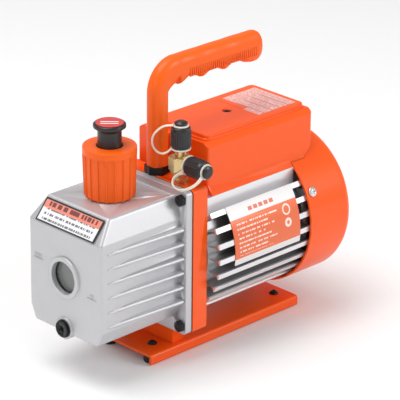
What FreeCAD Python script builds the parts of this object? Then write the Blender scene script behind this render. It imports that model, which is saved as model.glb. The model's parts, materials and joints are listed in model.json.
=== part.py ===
"""Single-stage rotary vane vacuum pump: oil casing, pump module, bracket, finned motor, fan cover, wiring box, base.

Millimetres, +Z up. Shapes are drawn in the pump's own layout, where X = 0 is the bracket face that the pump module
bolts to, -X is the sight glass end, +X the fan end, and Z = 0 the surface under the feet. save() then moves each one
along X, so that the written origin is the centre of the pump's footprint.
"""

import FreeCAD
import Part
import math
import os

Vec = FreeCAD.Vector
X_AXIS = Vec(1, 0, 0)
Y_AXIS = Vec(0, 1, 0)
Z_AXIS = Vec(0, 0, 1)
BRANCH_AXIS = Vec(0, -1, 0)  # the fitting's side branch

# Driving dimensions, in millimetres ----------------------------------------------------------------------------------
SHAFT_Z = 78.0  # height of the shaft line
SHAFT_R = 6.0
RUN_GAP = 0.3  # gap between a turning or sliding piece and what it passes
FIT_GAP = 0.05  # radial gap of a shaft or plug in its own bore
SEAT_GAP = 0.02  # radial gap of pieces assembled for good

# oil casing
CASING_LENGTH = 76.0
CASING_HALF_W = 37.9
CASING_TOP_HALF_W = 31.9
CASING_BOTTOM_HALF_W = 32.5
CASING_BOTTOM_Z = 34.9
CASING_TOP_Z = 129.0
BOTTOM_CHAMFER_H = 11.6
SHOULDER_H = 16.0
FRONT_SLOPE_L = 13.3
CASING_WALL = 4.0
CASING_EDGE_R = 2.6
SIDE_FIN_COUNT = 6
SIDE_FIN_PITCH = 11.16
SIDE_FIN_TOP_Z = 105.6
SIDE_FIN_T = 2.4
SIDE_FIN_START = 9.0  # from the front face to a fin's tip
SIDE_FIN_REACH = 4.4  # how far a fin stands out at the flange
FLANGE_T = 5.7
FLANGE_HALF_W = 44.4
FLANGE_BOTTOM_Z = 23.4
FLANGE_TOP_Z = 134.1
FLANGE_CORNER_R = 3.0
GASKET_T = 0.8
FLANGE_BOLT_Y = 39.4
FLANGE_BOLT_INSET_Z = 6.4
FLANGE_BOLT_R = 2.5
FLANGE_BOLT_AF = 8.0
FLANGE_BOLT_HEAD_H = 4.0

# sight glass and level marks
GLASS_Z = 78.5
GLASS_R = 12.2
GLASS_T = 3.0
GLASS_RECESS = 5.0
GLASS_SEAL_T = 1.2
GLASS_SEAL_W = 1.6
SIGHT_RING_R = 15.6
SIGHT_RING_PROUD = 1.8
MARK_L = 9.0
MARK_T = 0.9
MARK_PROUD = 0.5
MARK_OFFSET_Y = 28.0
MARK_MAX_RISE = 5.6
MARK_MIN_DROP = 8.4

# drain plug
DRAIN_Z = 39.4
DRAIN_THREAD_R = 5.0
DRAIN_HEAD_R = 6.3
DRAIN_HEAD_T = 1.6
DRAIN_LENGTH = 9.0
DRAIN_SOCKET_AF = 5.0
DRAIN_BOSS_R = 8.2
DRAIN_BOSS_PROUD = 1.4
DRAIN_SEAL_T = 1.0

# exhaust cap, filter and stopper
CAP_FROM_FLANGE = 32.6  # from the flange's front face to the cap's axis
CAP_R = 19.4
CAP_FOOT_R = 18.4
CAP_H = 35.0
CAP_RIM_H = 5.0
CAP_WALL = 2.4
CAP_FLUTES = 16
CAP_FLUTE_R = 2.6
CAP_FLUTE_DEPTH = 1.1
CAP_LIFT_GAP = 0.8
NECK_R = 14.0
NECK_BORE_R = 10.5
NECK_H = 14.0
FILTER_R = 13.4
FILTER_BORE_R = 9.4
FILTER_H = 15.0
STOPPER_R = 9.1
STOPPER_STEM_R = 7.6
STOPPER_STEM_L = 8.0
STOPPER_NECK_H = 15.4
STOPPER_FLANGE_R = 11.7
STOPPER_FLANGE_T = 3.6
BADGE_R = 10.0
BADGE_T = 0.5

# bracket between pump and motor
BRACKET_T = 13.8
BRACKET_HALF_W = 44.9
BRACKET_FOOT_HALF_W = 24.0
HUB_R = 21.0
HUB_REACH = 7.0
SPIGOT_T = 2.0
SEAL_R = 11.0
SEAL_T = 5.0
BRACKET_SCREW_R = 3.0
BRACKET_SCREW_Y = 15.0
BRACKET_SCREW_DEPTH = 12.0

# pump module
BORE_R = 23.05
BORE_DROP = 3.0  # the bore's centre lies this far under the shaft line
ROTOR_R = 20.0
CYLINDER_R = 30.0
CYLINDER_L = 32.0
PLATE_T = 8.0
ROTOR_END_GAP = 0.05
FRONT_JOURNAL_L = 6.0
BACK_JOURNAL_L = 7.6
VANE_T = 3.2
VANE_H = 11.0
VANE_SLOT_GAP = 0.04
SLOT_DEPTH = 12.2
SPRING_R = 2.0
SPRING_WIRE_R = 0.3
SPRING_TURNS = 8
SPRING_SPACING = 16.0
PUMP_BOLT_R = 2.0
PUMP_BOLT_PCR = 26.3
PUMP_BOLT_HEAD_R = 3.6
PUMP_BOLT_HEAD_H = 4.0
PUMP_BOLT_GRIP = 9.0  # thread in the bracket
PORT_R = 2.6
PORT_Y = -19.3
PORT_RISE = 6.0
VALVE_FLAT_H = 26.0  # from the bore's centre to the flat that the reed lies on
REED_L = 24.0
REED_W = 9.0
REED_T = 0.3
REED_PACKER_T = 0.9
REED_STOP_T = 1.6
REED_STOP_LIFT = 2.2
VALVE_ANGLE = 30.0  # turned from straight up towards +Y
VALVE_HOLE_R = 2.0
VALVE_SCREW_R = 1.5
VALVE_SCREW_HEAD_R = 2.8
TONGUE_W = 4.0
TONGUE_L = 4.0

# brass intake fitting, its caps and their tethers
FITTING_Y = -24.4
FITTING_THREAD_R = 5.0
FITTING_THREAD_L = 10.0
FITTING_STEM_R = 5.4
FITTING_STEM_H = 3.4
FITTING_BODY_R = 7.6
FITTING_BODY_Z = 8.0  # height over the bracket where the body reaches its full width
FITTING_BODY_TOP = 19.4
FITTING_BRANCH_RISE = 14.4
FITTING_NECK_R = 4.1
FITTING_NECK_L = 6.6
FLARE_R = 5.55
FLARE_L = 11.6
FLARE_TIP_R = 3.4
FLARE_TIP_L = 3.0
FITTING_BORE_R = 2.4
BRANCH_NECK_START = 6.6
BRANCH_NECK_L = 2.6
FLARE_CAP_R = 7.4
FLARE_CAP_L = 15.5
FLARE_CAP_RIBS = 30
FLARE_CAP_RIB_DEPTH = 0.35
FLARE_CAP_BUTTON_R = 4.8
FLARE_CAP_BUTTON_T = 2.2
FLARE_CAP_WAIST_R = 3.0
FLARE_CAP_WAIST_L = 1.8
FLARE_CAP_CLEAR = 0.15
FLARE_CAP_WELL_L = 12.8
FLARE_CAP_TIP_R = 5.0
TETHER_T = 1.2
TETHER_W = 2.6
TETHER_NECK_RING_R = 7.4
TETHER_CAP_RING_R = 5.7
TETHER_REACH = 11.4  # straight part of the loop, from the cap's axis
TETHER_GAP = 0.2
TOP_LOOP_ANGLE = 135.0  # seen from above, counted from +X
SIDE_LOOP_DROP = 38.0  # the side cap's loop hangs this far under level

# motor
HOUSING_BORE_R = 40.0
HOUSING_R = 46.0
HOUSING_FIN_R = 55.6
HOUSING_L = 98.0
FIN_START = 3.0  # from the bracket to the ends of the fins
MOTOR_FIN_PITCH = 12.2  # degrees
MOTOR_FIN_TOP = 35.4  # degrees above level, the highest fin
MOTOR_FIN_COUNT = 10
MOTOR_FIN_WEB_T = 1.6
MOTOR_FIN_CAP_W = 4.0
MOTOR_FIN_CAP_T = 1.5
SEAT_HALF_W = 38.6
SEAT_Z = 121.0
SEAT_DEPTH = 20.0
CORE_L = 50.0
CORE_BORE_R = 23.2
CORE_SLOTS = 18
CORE_SLOT_W = 3.4
CORE_SLOT_DEPTH = 9.0
CORE_OFFSET = 20.0  # from the housing's front end to the core
WINDING_L = 12.0
WINDING_IN_R = 24.5
WINDING_OUT_R = 36.5
ROTOR_CORE_R = 22.6
ROTOR_RING_T = 3.0
BEARING_R = 16.0
BEARING_T = 10.0
BEARING_RACE_T = 2.4
BALL_R = 2.7
BALL_COUNT = 8
END_BELL_T = 6.0
END_BELL_HUB_R = 21.0
END_BELL_HUB_L = 6.0
TIE_BOLT_R = 2.0
TIE_BOLT_PCR = 43.2
TIE_BOLT_HEAD_R = 3.5
TIE_BOLT_HEAD_H = 2.6
TIE_BOLT_ANGLES = (45.0, 135.0, 225.0, 315.0)
TIE_BOLT_GRIP = 8.0
FAN_R = 50.0
FAN_HUB_R = 14.0
FAN_L = 15.0
FAN_BLADES = 9
FAN_BLADE_T = 1.6
FAN_GAP = 6.0  # from the end bell to the fan
FAN_DISC_T = 1.8

# fan cover
COVER_R = 58.0
COVER_WALL = 1.6
COVER_L = 45.6
COVER_EDGE_R = 8.0
COVER_OVERLAP = 2.8  # how far the cover reaches over the fins
COVER_SCREW_ANGLES = (26.0, 154.0, 270.0)
COVER_SCREW_R = 1.8
COVER_SCREW_HEAD_R = 3.9
COVER_SCREW_HEAD_T = 1.9
COVER_SCREW_INSET = 6.0
COVER_LUG_W = 9.0
GRILLE_RINGS = 4
GRILLE_FIRST_R = 12.0
GRILLE_PITCH = 9.0
GRILLE_SLOT_W = 4.0
GRILLE_SPOKES = 6
GRILLE_SPOKE_W = 5.0

# wiring box
BOX_GAP = 5.6  # from the bracket to the box
BOX_L = 114.0
BOX_HALF_W = 33.0
BOX_SIDE_TOP_Z = 155.9
BOX_HEEL_R = 10.0  # low rear corner, seen from the side
BOX_HEEL_Z = 125.0
BOX_TOP_Z = 159.0
BOX_TOP_HALF_W = 28.6
BOX_SKIRT_H = 6.0  # the sides flare out over this height to the edge of the housing's seat
BOX_SKIRT_GAP = 0.2
BOX_WALL = 2.2
BOX_EDGE_R = 2.0
NOTCH_L = 6.0  # the front corner beside the intake fitting is set back this far
NOTCH_Y = 3.0
LID_FRONT = 10.6
LID_BACK = 2.4
LID_HALF_W = 27.2
LID_T = 3.8
LID_SKIN_T = 2.2
LID_CORNER_R = 4.0
LID_LIP = 2.4
LID_SCREW_FROM_FRONT = 57.8
LID_SCREW_R = 1.8
LID_SCREW_HEAD_R = 3.2
LID_RECESS_R = 3.7
LID_RECESS_DEPTH = 2.6
CAPACITOR_R = 13.5
CAPACITOR_L = 58.0
CAPACITOR_FROM_FRONT = 17.0
CLAMP_T = 1.4
CLAMP_W = 14.0
TERMINAL_L = 11.0
TERMINAL_W = 26.0
TERMINAL_H = 10.0
INLET_Y = -13.0
INLET_Z = 146.9
INLET_PLATE_W = 29.0
INLET_PLATE_H = 21.0
INLET_PLATE_T = 2.0
INLET_BODY_W = 27.0
INLET_BODY_H = 19.0
INLET_DEPTH = 18.0
INLET_WELL_W = 24.4
INLET_WELL_H = 16.6
INLET_WELL_DEPTH = 15.0
PIN_W = 2.0
PIN_H = 4.0
PIN_L = 12.5
SWITCH_Y = 15.0
SWITCH_PLATE_W = 15.0
SWITCH_PLATE_H = 21.0
SWITCH_PLATE_T = 1.8
SWITCH_BODY_W = 12.8
SWITCH_BODY_H = 19.0
SWITCH_DEPTH = 12.0
ROCKER_W = 9.6
ROCKER_H = 15.6
ROCKER_PROUD = 3.4
ROCKER_TILT = 8.0

# handle
HANDLE_W = 14.0
POST_D = 14.4
GRIP_TOP_Z = 219.0
GRIP_BOTTOM_Z = 201.2
GRIP_END = 102.4  # from the post's axis to the grip's far end
GRIP_BEND_R = 24.0
GRIP_INNER_R = 12.0
GROOVE_PITCH = 22.5
GROOVE_DEPTH = 4.4
GROOVE_COUNT = 3
GROOVE_START = 19.0  # from the post's axis to the first crest's near side
GRIP_HOOK_DROP = 1.2
HOOK_R = 5.0
HOOK_RAMP = 4.0
HANDLE_EDGE_R = 4.0
STUD_R = 4.0
STUD_IN_HANDLE = 24.0
STUD_IN_BRACKET = 12.0
NUT_AF = 16.0
NUT_H = 5.6

# base and feet
BASE_FRONT_X = -26.0
BASE_L = 153.0
BASE_HALF_W = 28.9
BASE_H = 8.2
BASE_T = 2.0
BASE_LIP_Z = 0.8
BASE_BEND_R = 2.4
FOOT_R = 5.0
FOOT_INSET_X = 6.2
FOOT_Y = 21.4
FOOT_EAR_R = 5.4
FOOT_EAR_T = 2.6
FOOT_SCREW_INSETS_X = (15.5, 10.5)  # front, rear
FOOT_SCREW_Y = 13.8
FOOT_SCREW_R = 2.0
FOOT_SCREW_HEAD_R = 3.6
FOOT_SCREW_HEAD_H = 2.2
FOOT_NUT_AF = 5.5
FOOT_NUT_H = 1.8

# nameplate
PLATE_SHEET_T = 0.4
PLATE_FRONT = 17.9  # from the housing's front end
PLATE_L = 67.4
PLATE_ANGLE_TOP = 37.6
PLATE_ANGLE_BOTTOM = -8.0

# Places worked out from them -----------------------------------------------------------------------------------------
FLANGE_FRONT_X = -GASKET_T - FLANGE_T
CASING_FRONT_X = FLANGE_FRONT_X - CASING_LENGTH
SHOULDER_Z = CASING_TOP_Z - SHOULDER_H
CAP_X = FLANGE_FRONT_X - CAP_FROM_FLANGE
BRACKET_MID_X = BRACKET_T / 2
BRACKET_BOTTOM_Z = FLANGE_BOTTOM_Z
BRACKET_TOP_Z = FLANGE_TOP_Z
FLANGE_BOLT_ZS = (FLANGE_BOTTOM_Z + FLANGE_BOLT_INSET_Z, FLANGE_TOP_Z - FLANGE_BOLT_INSET_Z)
BORE_Z = SHAFT_Z - BORE_DROP
CYLINDER_BACK_X = -PLATE_T
CYLINDER_FRONT_X = CYLINDER_BACK_X - CYLINDER_L
PUMP_FRONT_X = CYLINDER_FRONT_X - PLATE_T
HOUSING_FRONT_X = BRACKET_T
HOUSING_BACK_X = HOUSING_FRONT_X + HOUSING_L
FRONT_BEARING_X = HOUSING_FRONT_X + HUB_REACH - BEARING_T
REAR_BEARING_X = HOUSING_BACK_X - END_BELL_HUB_L
CORE_X = HOUSING_FRONT_X + CORE_OFFSET
END_BELL_BACK_X = HOUSING_BACK_X + END_BELL_T
FAN_X = END_BELL_BACK_X + FAN_GAP
COVER_FRONT_X = HOUSING_BACK_X - COVER_OVERLAP
COVER_BACK_X = COVER_FRONT_X + COVER_L
BOX_FRONT_X = BRACKET_T + BOX_GAP
BOX_BACK_X = BOX_FRONT_X + BOX_L
LID_FRONT_X = BOX_FRONT_X + LID_FRONT
LID_BACK_X = BOX_BACK_X - LID_BACK
LID_TOP_Z = BOX_TOP_Z + LID_T
LID_SCREW_X = BOX_FRONT_X + LID_SCREW_FROM_FRONT
LID_SCREW_BED_Z = LID_TOP_Z - LID_RECESS_DEPTH
CAPACITOR_Z = SHAFT_Z + HOUSING_R + CAPACITOR_R + 1.0
CAPACITOR_X = BOX_FRONT_X + CAPACITOR_FROM_FRONT
POST_X = BRACKET_MID_X
POST_FOOT_Z = BRACKET_TOP_Z + NUT_H
FITTING_X = BRACKET_MID_X
BRANCH_Z = BRACKET_TOP_Z + FITTING_BRANCH_RISE
TOP_NECK_Z = BRACKET_TOP_Z + FITTING_BODY_TOP
BASE_ENDS = ((BASE_FRONT_X, 1), (BASE_FRONT_X + BASE_L, -1))
FOOT_PLACES = [(end + into * FOOT_INSET_X, side * FOOT_Y) for end, into in BASE_ENDS for side in (-1, 1)]
FOOT_SCREW_PLACES = [(end + into * inset, side * FOOT_SCREW_Y)
                     for (end, into), inset in zip(BASE_ENDS, FOOT_SCREW_INSETS_X) for side in (-1, 1)]
DRAIN_FRONT_X = CASING_FRONT_X - DRAIN_BOSS_PROUD - DRAIN_SEAL_T - DRAIN_HEAD_T
FRAME_SHIFT = -(DRAIN_FRONT_X + COVER_BACK_X) / 2


# Helpers -------------------------------------------------------------------------------------------------------------
def save(name, *shapes):
    """Writes one node, moved to the written origin, as its separate solids."""
    solids = [solid for shape in shapes for solid in shape.Solids]
    node = Part.makeCompound(solids)
    node.translate(Vec(FRAME_SHIFT, 0, 0))
    node.exportStep(os.path.join("parts", name + ".step"))


def box(x0, x1, y0, y1, z0, z1):
    """A block between two corners."""
    return Part.makeBox(x1 - x0, y1 - y0, z1 - z0, Vec(x0, y0, z0))


def rod(radius, start, length, axis):
    """A cylinder from a start point along an axis."""
    return Part.makeCylinder(radius, length, start, axis)


def x_rod(radius, x0, x1, y=0.0, z=SHAFT_Z):
    """A cylinder along X between two X values."""
    return rod(radius, Vec(x0, y, z), x1 - x0, X_AXIS)


def x_tube(inner, outer, x0, x1, y=0.0, z=SHAFT_Z):
    """A tube along X between two X values."""
    return x_rod(outer, x0, x1, y, z).cut(x_rod(inner, x0 - 1, x1 + 1, y, z))


def z_rod(radius, x, y, z0, z1):
    """A cylinder along Z between two Z values."""
    return rod(radius, Vec(x, y, z0), z1 - z0, Z_AXIS)


def fuse(shapes):
    """One shape from several that touch or overlap."""
    shapes = list(shapes)
    return shapes[0].multiFuse(shapes[1:]).removeSplitter()


def cut_all(shape, tools):
    """A shape with several tools taken off it."""
    tools = list(tools)
    return shape.cut(tools) if tools else shape


def loop_face(points):
    """A flat face inside a closed loop of points."""
    return Part.Face(Part.makePolygon(list(points) + [points[0]]))


def yz_prism(points, x0, x1):
    """A YZ outline pulled along X."""
    return loop_face([Vec(x0, y, z) for y, z in points]).extrude(Vec(x1 - x0, 0, 0))


def xz_prism(points, y0, y1):
    """An XZ outline pulled along Y."""
    return loop_face([Vec(x, y0, z) for x, z in points]).extrude(Vec(0, y1 - y0, 0))


def rounded_plate(y_half, z0, z1, x0, x1, corner):
    """A plate across X with four rounded corners."""
    plate = box(x0, x1, -y_half, y_half, z0, z1)
    corners = [edge for edge in plate.Edges if abs(edge.tangentAt(edge.FirstParameter).x) > 0.99]
    return plate.makeFillet(corner, corners)


def turned(points, start, axis):
    """A turned piece: (distance along the axis, radius) points, closed back to the axis."""
    side = Vec(0, 0, 1) if abs(axis.z) < 0.9 else Vec(1, 0, 0)
    outline = [start + axis * along + side * radius for along, radius in points]
    ends = [start + axis * points[-1][0], start + axis * points[0][0]]
    return loop_face(outline + ends).revolve(start, axis, 360)


def hexagon(across_flats, start, length, axis, roll=0.0):
    """A hexagonal bar from a start point along an axis."""
    corner = across_flats / math.sqrt(3)
    side = Vec(0, 0, 1) if abs(axis.z) < 0.9 else Vec(1, 0, 0)
    turn = [FreeCAD.Rotation(axis, roll + 60 * k).multVec(side) for k in range(6)]
    return loop_face([start + direction * corner for direction in turn]).extrude(axis * length)


def polar(radius, degrees, centre_z=SHAFT_Z):
    """(y, z) of a point round the shaft line; 0 degrees is +Y and 90 is up."""
    angle = math.radians(degrees)
    return radius * math.cos(angle), centre_z + radius * math.sin(angle)


def about_shaft(shape, degrees, centre_z=SHAFT_Z):
    """A copy turned about the shaft line."""
    copy = shape.copy()
    copy.rotate(Vec(0, 0, centre_z), X_AXIS, degrees)
    return copy


# Oil casing ----------------------------------------------------------------------------------------------------------
def casing_block(inset, back_x):
    """The casing's faceted body, taken in all round by inset."""
    front_x = CASING_FRONT_X + inset
    top_z = CASING_TOP_Z - inset
    bottom_z = CASING_BOTTOM_Z + inset
    half = CASING_HALF_W - inset
    half_top = CASING_TOP_HALF_W - inset
    half_bottom = CASING_BOTTOM_HALF_W - inset
    outline = [
        (-half_top, top_z), (-half, SHOULDER_Z), (-half, CASING_BOTTOM_Z + BOTTOM_CHAMFER_H), (-half_bottom, bottom_z),
        (half_bottom, bottom_z), (half, CASING_BOTTOM_Z + BOTTOM_CHAMFER_H), (half, SHOULDER_Z), (half_top, top_z),
    ]
    body = yz_prism(outline, front_x, back_x)
    slope = [
        (front_x, SHOULDER_Z), (front_x + FRONT_SLOPE_L, top_z), (front_x + FRONT_SLOPE_L, top_z + 9),
        (front_x - 9, top_z + 9), (front_x - 9, SHOULDER_Z),
    ]
    return body.cut(xz_prism(slope, -half - 9, half + 9))


def side_fins():
    """Cooling fins that grow out of both sides towards the flange."""
    tip_x = CASING_FRONT_X + SIDE_FIN_START
    root = CASING_HALF_W - 1.0
    reach = CASING_HALF_W + SIDE_FIN_REACH
    fins = []
    for row in range(SIDE_FIN_COUNT):
        z = SIDE_FIN_TOP_Z - row * SIDE_FIN_PITCH
        for side in (-1, 1):
            points = [(tip_x, root), (FLANGE_FRONT_X + 0.5, root), (FLANGE_FRONT_X + 0.5, reach),
                      (tip_x + 3, CASING_HALF_W + 0.6)]
            outline = [Vec(x, side * y, z - SIDE_FIN_T / 2) for x, y in points]
            fins.append(loop_face(outline).extrude(Vec(0, 0, SIDE_FIN_T)))
    return fins


def level_marks():
    """Raised level lines beside the sight glass, each with a small pictograph of ticks."""
    marks = []
    for side, z, ticks in ((1, GLASS_Z + MARK_MAX_RISE, 4), (-1, GLASS_Z - MARK_MIN_DROP, 2)):
        middle = side * MARK_OFFSET_Y
        x0, x1 = CASING_FRONT_X - MARK_PROUD, CASING_FRONT_X + 0.5
        marks.append(box(x0, x1, middle - MARK_L / 2, middle + MARK_L / 2, z, z + MARK_T))
        for k in range(ticks):
            y = middle + (k - (ticks - 1) / 2) * 2.0
            marks.append(box(x0, x1, y - 0.4, y + 0.4, z + 1.7, z + 4.4))
    return marks


def oil_casing():
    """Die-cast casing with its flange, fins, filler neck, sight glass seat and drain boss."""
    shell = casing_block(0.0, FLANGE_FRONT_X + 0.5)
    front_edges = [e for e in shell.Edges if e.BoundBox.XMax < FLANGE_FRONT_X - 1 or e.BoundBox.XLength > CASING_LENGTH / 2]
    shell = shell.makeFillet(CASING_EDGE_R, front_edges)
    flange = rounded_plate(FLANGE_HALF_W, FLANGE_BOTTOM_Z, FLANGE_TOP_Z, FLANGE_FRONT_X, -GASKET_T, FLANGE_CORNER_R)
    ring = x_rod(SIGHT_RING_R, CASING_FRONT_X - SIGHT_RING_PROUD, CASING_FRONT_X + 1, 0, GLASS_Z)
    glass_boss_back = CASING_FRONT_X - SIGHT_RING_PROUD + GLASS_RECESS + GLASS_T + GLASS_SEAL_T
    seat = x_rod(SIGHT_RING_R, CASING_FRONT_X + CASING_WALL - 1, glass_boss_back, 0, GLASS_Z)
    drain = x_rod(DRAIN_BOSS_R, CASING_FRONT_X - DRAIN_BOSS_PROUD, CASING_FRONT_X + DRAIN_LENGTH, 0, DRAIN_Z)
    neck = z_rod(NECK_R, CAP_X, 0, CASING_TOP_Z - CASING_WALL, CASING_TOP_Z + NECK_H)
    inner = casing_block(CASING_WALL, 0.0).cut(seat).cut(drain)
    body = fuse([shell, flange, ring, drain, neck] + side_fins() + level_marks()).cut(inner)
    body = body.fuse(seat)
    holes = [
        x_rod(GLASS_R - GLASS_SEAL_W, CASING_FRONT_X - 9, glass_boss_back + 1, 0, GLASS_Z),
        x_rod(GLASS_R, CASING_FRONT_X - 9, glass_boss_back - GLASS_SEAL_T, 0, GLASS_Z),
        x_rod(DRAIN_THREAD_R, CASING_FRONT_X - 9, CASING_FRONT_X + DRAIN_LENGTH + 1, 0, DRAIN_Z),
        z_rod(NECK_BORE_R, CAP_X, 0, CASING_TOP_Z - CASING_WALL - 1, CASING_TOP_Z + NECK_H + 1),
    ]
    for y in (-FLANGE_BOLT_Y, FLANGE_BOLT_Y):
        for z in FLANGE_BOLT_ZS:
            holes.append(x_rod(FLANGE_BOLT_R + 0.25, FLANGE_FRONT_X - 1, 0, y, z))
    return cut_all(body, holes).removeSplitter()


def casing_gasket():
    """Flat gasket between the flange and the bracket, open where the pump module passes."""
    sheet = rounded_plate(FLANGE_HALF_W, FLANGE_BOTTOM_Z, FLANGE_TOP_Z, -GASKET_T, 0, FLANGE_CORNER_R)
    opening = casing_block(CASING_WALL, 1.0)
    bolts = [x_rod(FLANGE_BOLT_R + 0.25, -9, 9, y, z) for y in (-FLANGE_BOLT_Y, FLANGE_BOLT_Y) for z in FLANGE_BOLT_ZS]
    return cut_all(sheet, [opening] + bolts)


def hex_bolt(radius, across_flats, head_h, head_x, length, y, z):
    """A hexagon bolt along +X whose head seats at head_x."""
    head = hexagon(across_flats, Vec(head_x - head_h, y, z), head_h, X_AXIS)
    dome = Part.makeSphere(across_flats * 0.95, Vec(head_x - head_h + across_flats * 0.93, y, z))
    return head.common(dome).fuse(x_rod(radius, head_x - 0.5, head_x + length, y, z)).removeSplitter()


def casing_bolts():
    """Four bolts through the flange into the bracket."""
    reach = FLANGE_T + GASKET_T + 9.0
    return [hex_bolt(FLANGE_BOLT_R, FLANGE_BOLT_AF, FLANGE_BOLT_HEAD_H, FLANGE_FRONT_X, reach, y, z)
            for y in (-FLANGE_BOLT_Y, FLANGE_BOLT_Y) for z in FLANGE_BOLT_ZS]


def sight_glass():
    """The lens, and the ring in front of it that holds it in its seat."""
    seat_x = CASING_FRONT_X - SIGHT_RING_PROUD + GLASS_RECESS
    lens = x_rod(GLASS_R - SEAT_GAP, seat_x, seat_x + GLASS_T, 0, GLASS_Z)
    ring = x_tube(GLASS_R - GLASS_SEAL_W, GLASS_R - SEAT_GAP, seat_x - GLASS_SEAL_T, seat_x, 0, GLASS_Z)
    return lens, ring


def drain_plug():
    """Socket-head drain plug and its sealing washer."""
    head_front = DRAIN_FRONT_X
    seal_front = head_front + DRAIN_HEAD_T
    plug = x_rod(DRAIN_HEAD_R, head_front, seal_front, 0, DRAIN_Z)
    plug = plug.makeChamfer(0.4, [e for e in plug.Edges if e.BoundBox.XMax < head_front + 0.01 and e.BoundBox.XLength < 0.01])
    plug = plug.fuse(x_rod(DRAIN_THREAD_R - FIT_GAP, seal_front, seal_front + DRAIN_LENGTH, 0, DRAIN_Z))
    socket = hexagon(DRAIN_SOCKET_AF, Vec(head_front - 1, 0, DRAIN_Z), 1 + DRAIN_HEAD_T + 2.4, X_AXIS)
    seal = x_tube(DRAIN_THREAD_R + FIT_GAP, DRAIN_HEAD_R + 0.4, seal_front, seal_front + DRAIN_SEAL_T, 0, DRAIN_Z)
    return plug.cut(socket), seal


# Exhaust cap ---------------------------------------------------------------------------------------------------------
def exhaust_cap():
    """Fluted cap that screws onto the filler neck, hollow for the oil mist filter."""
    foot_z = CASING_TOP_Z + CAP_LIFT_GAP
    top_z = foot_z + CAP_H
    rim_z = top_z - CAP_RIM_H
    body = turned([(0, CAP_FOOT_R), (CAP_H - CAP_RIM_H, CAP_R), (CAP_H - 0.8, CAP_R), (CAP_H, CAP_R - 0.8)],
                  Vec(CAP_X, 0, foot_z), Z_AXIS)
    flute_r = CAP_R + CAP_FLUTE_R - CAP_FLUTE_DEPTH
    tools = []
    for k in range(CAP_FLUTES):
        angle = 2 * math.pi * (k + 0.5) / CAP_FLUTES
        tools.append(z_rod(CAP_FLUTE_R, CAP_X + flute_r * math.cos(angle), flute_r * math.sin(angle), foot_z - 1, rim_z))
    tools.append(z_rod(NECK_R + RUN_GAP, CAP_X, 0, foot_z - 1, CASING_TOP_Z + NECK_H + RUN_GAP))
    tools.append(z_rod(FILTER_R + RUN_GAP, CAP_X, 0, foot_z, top_z - CAP_WALL))
    tools.append(z_rod(STOPPER_STEM_R + RUN_GAP, CAP_X, 0, foot_z, top_z + 1))
    return cut_all(body, tools)


def exhaust_filter():
    """Oil mist filter sleeve on top of the neck, inside the cap."""
    z0 = CASING_TOP_Z + NECK_H
    return z_rod(FILTER_R, CAP_X, 0, z0, z0 + FILTER_H).cut(z_rod(FILTER_BORE_R, CAP_X, 0, z0 - 1, z0 + FILTER_H + 1))


def exhaust_stopper():
    """Pull-out stopper of the exhaust port, and the coloured disc on it."""
    seat_z = CASING_TOP_Z + CAP_LIFT_GAP + CAP_H
    neck_top = STOPPER_STEM_L + STOPPER_NECK_H
    waist = STOPPER_R - 0.5
    points = [
        (0, STOPPER_STEM_R - 0.8), (1.0, STOPPER_STEM_R), (STOPPER_STEM_L, STOPPER_STEM_R), (STOPPER_STEM_L, STOPPER_R),
        (STOPPER_STEM_L + 6, waist), (neck_top - 2, waist), (neck_top, STOPPER_FLANGE_R - 1.4),
        (neck_top + 0.8, STOPPER_FLANGE_R), (neck_top + STOPPER_FLANGE_T - 0.8, STOPPER_FLANGE_R),
        (neck_top + STOPPER_FLANGE_T, STOPPER_FLANGE_R - 0.8),
    ]
    stopper = turned(points, Vec(CAP_X, 0, seat_z - STOPPER_STEM_L), Z_AXIS)
    top_z = seat_z + STOPPER_NECK_H + STOPPER_FLANGE_T
    badge = z_rod(BADGE_R, CAP_X, 0, top_z, top_z + BADGE_T)
    return stopper, badge


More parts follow.
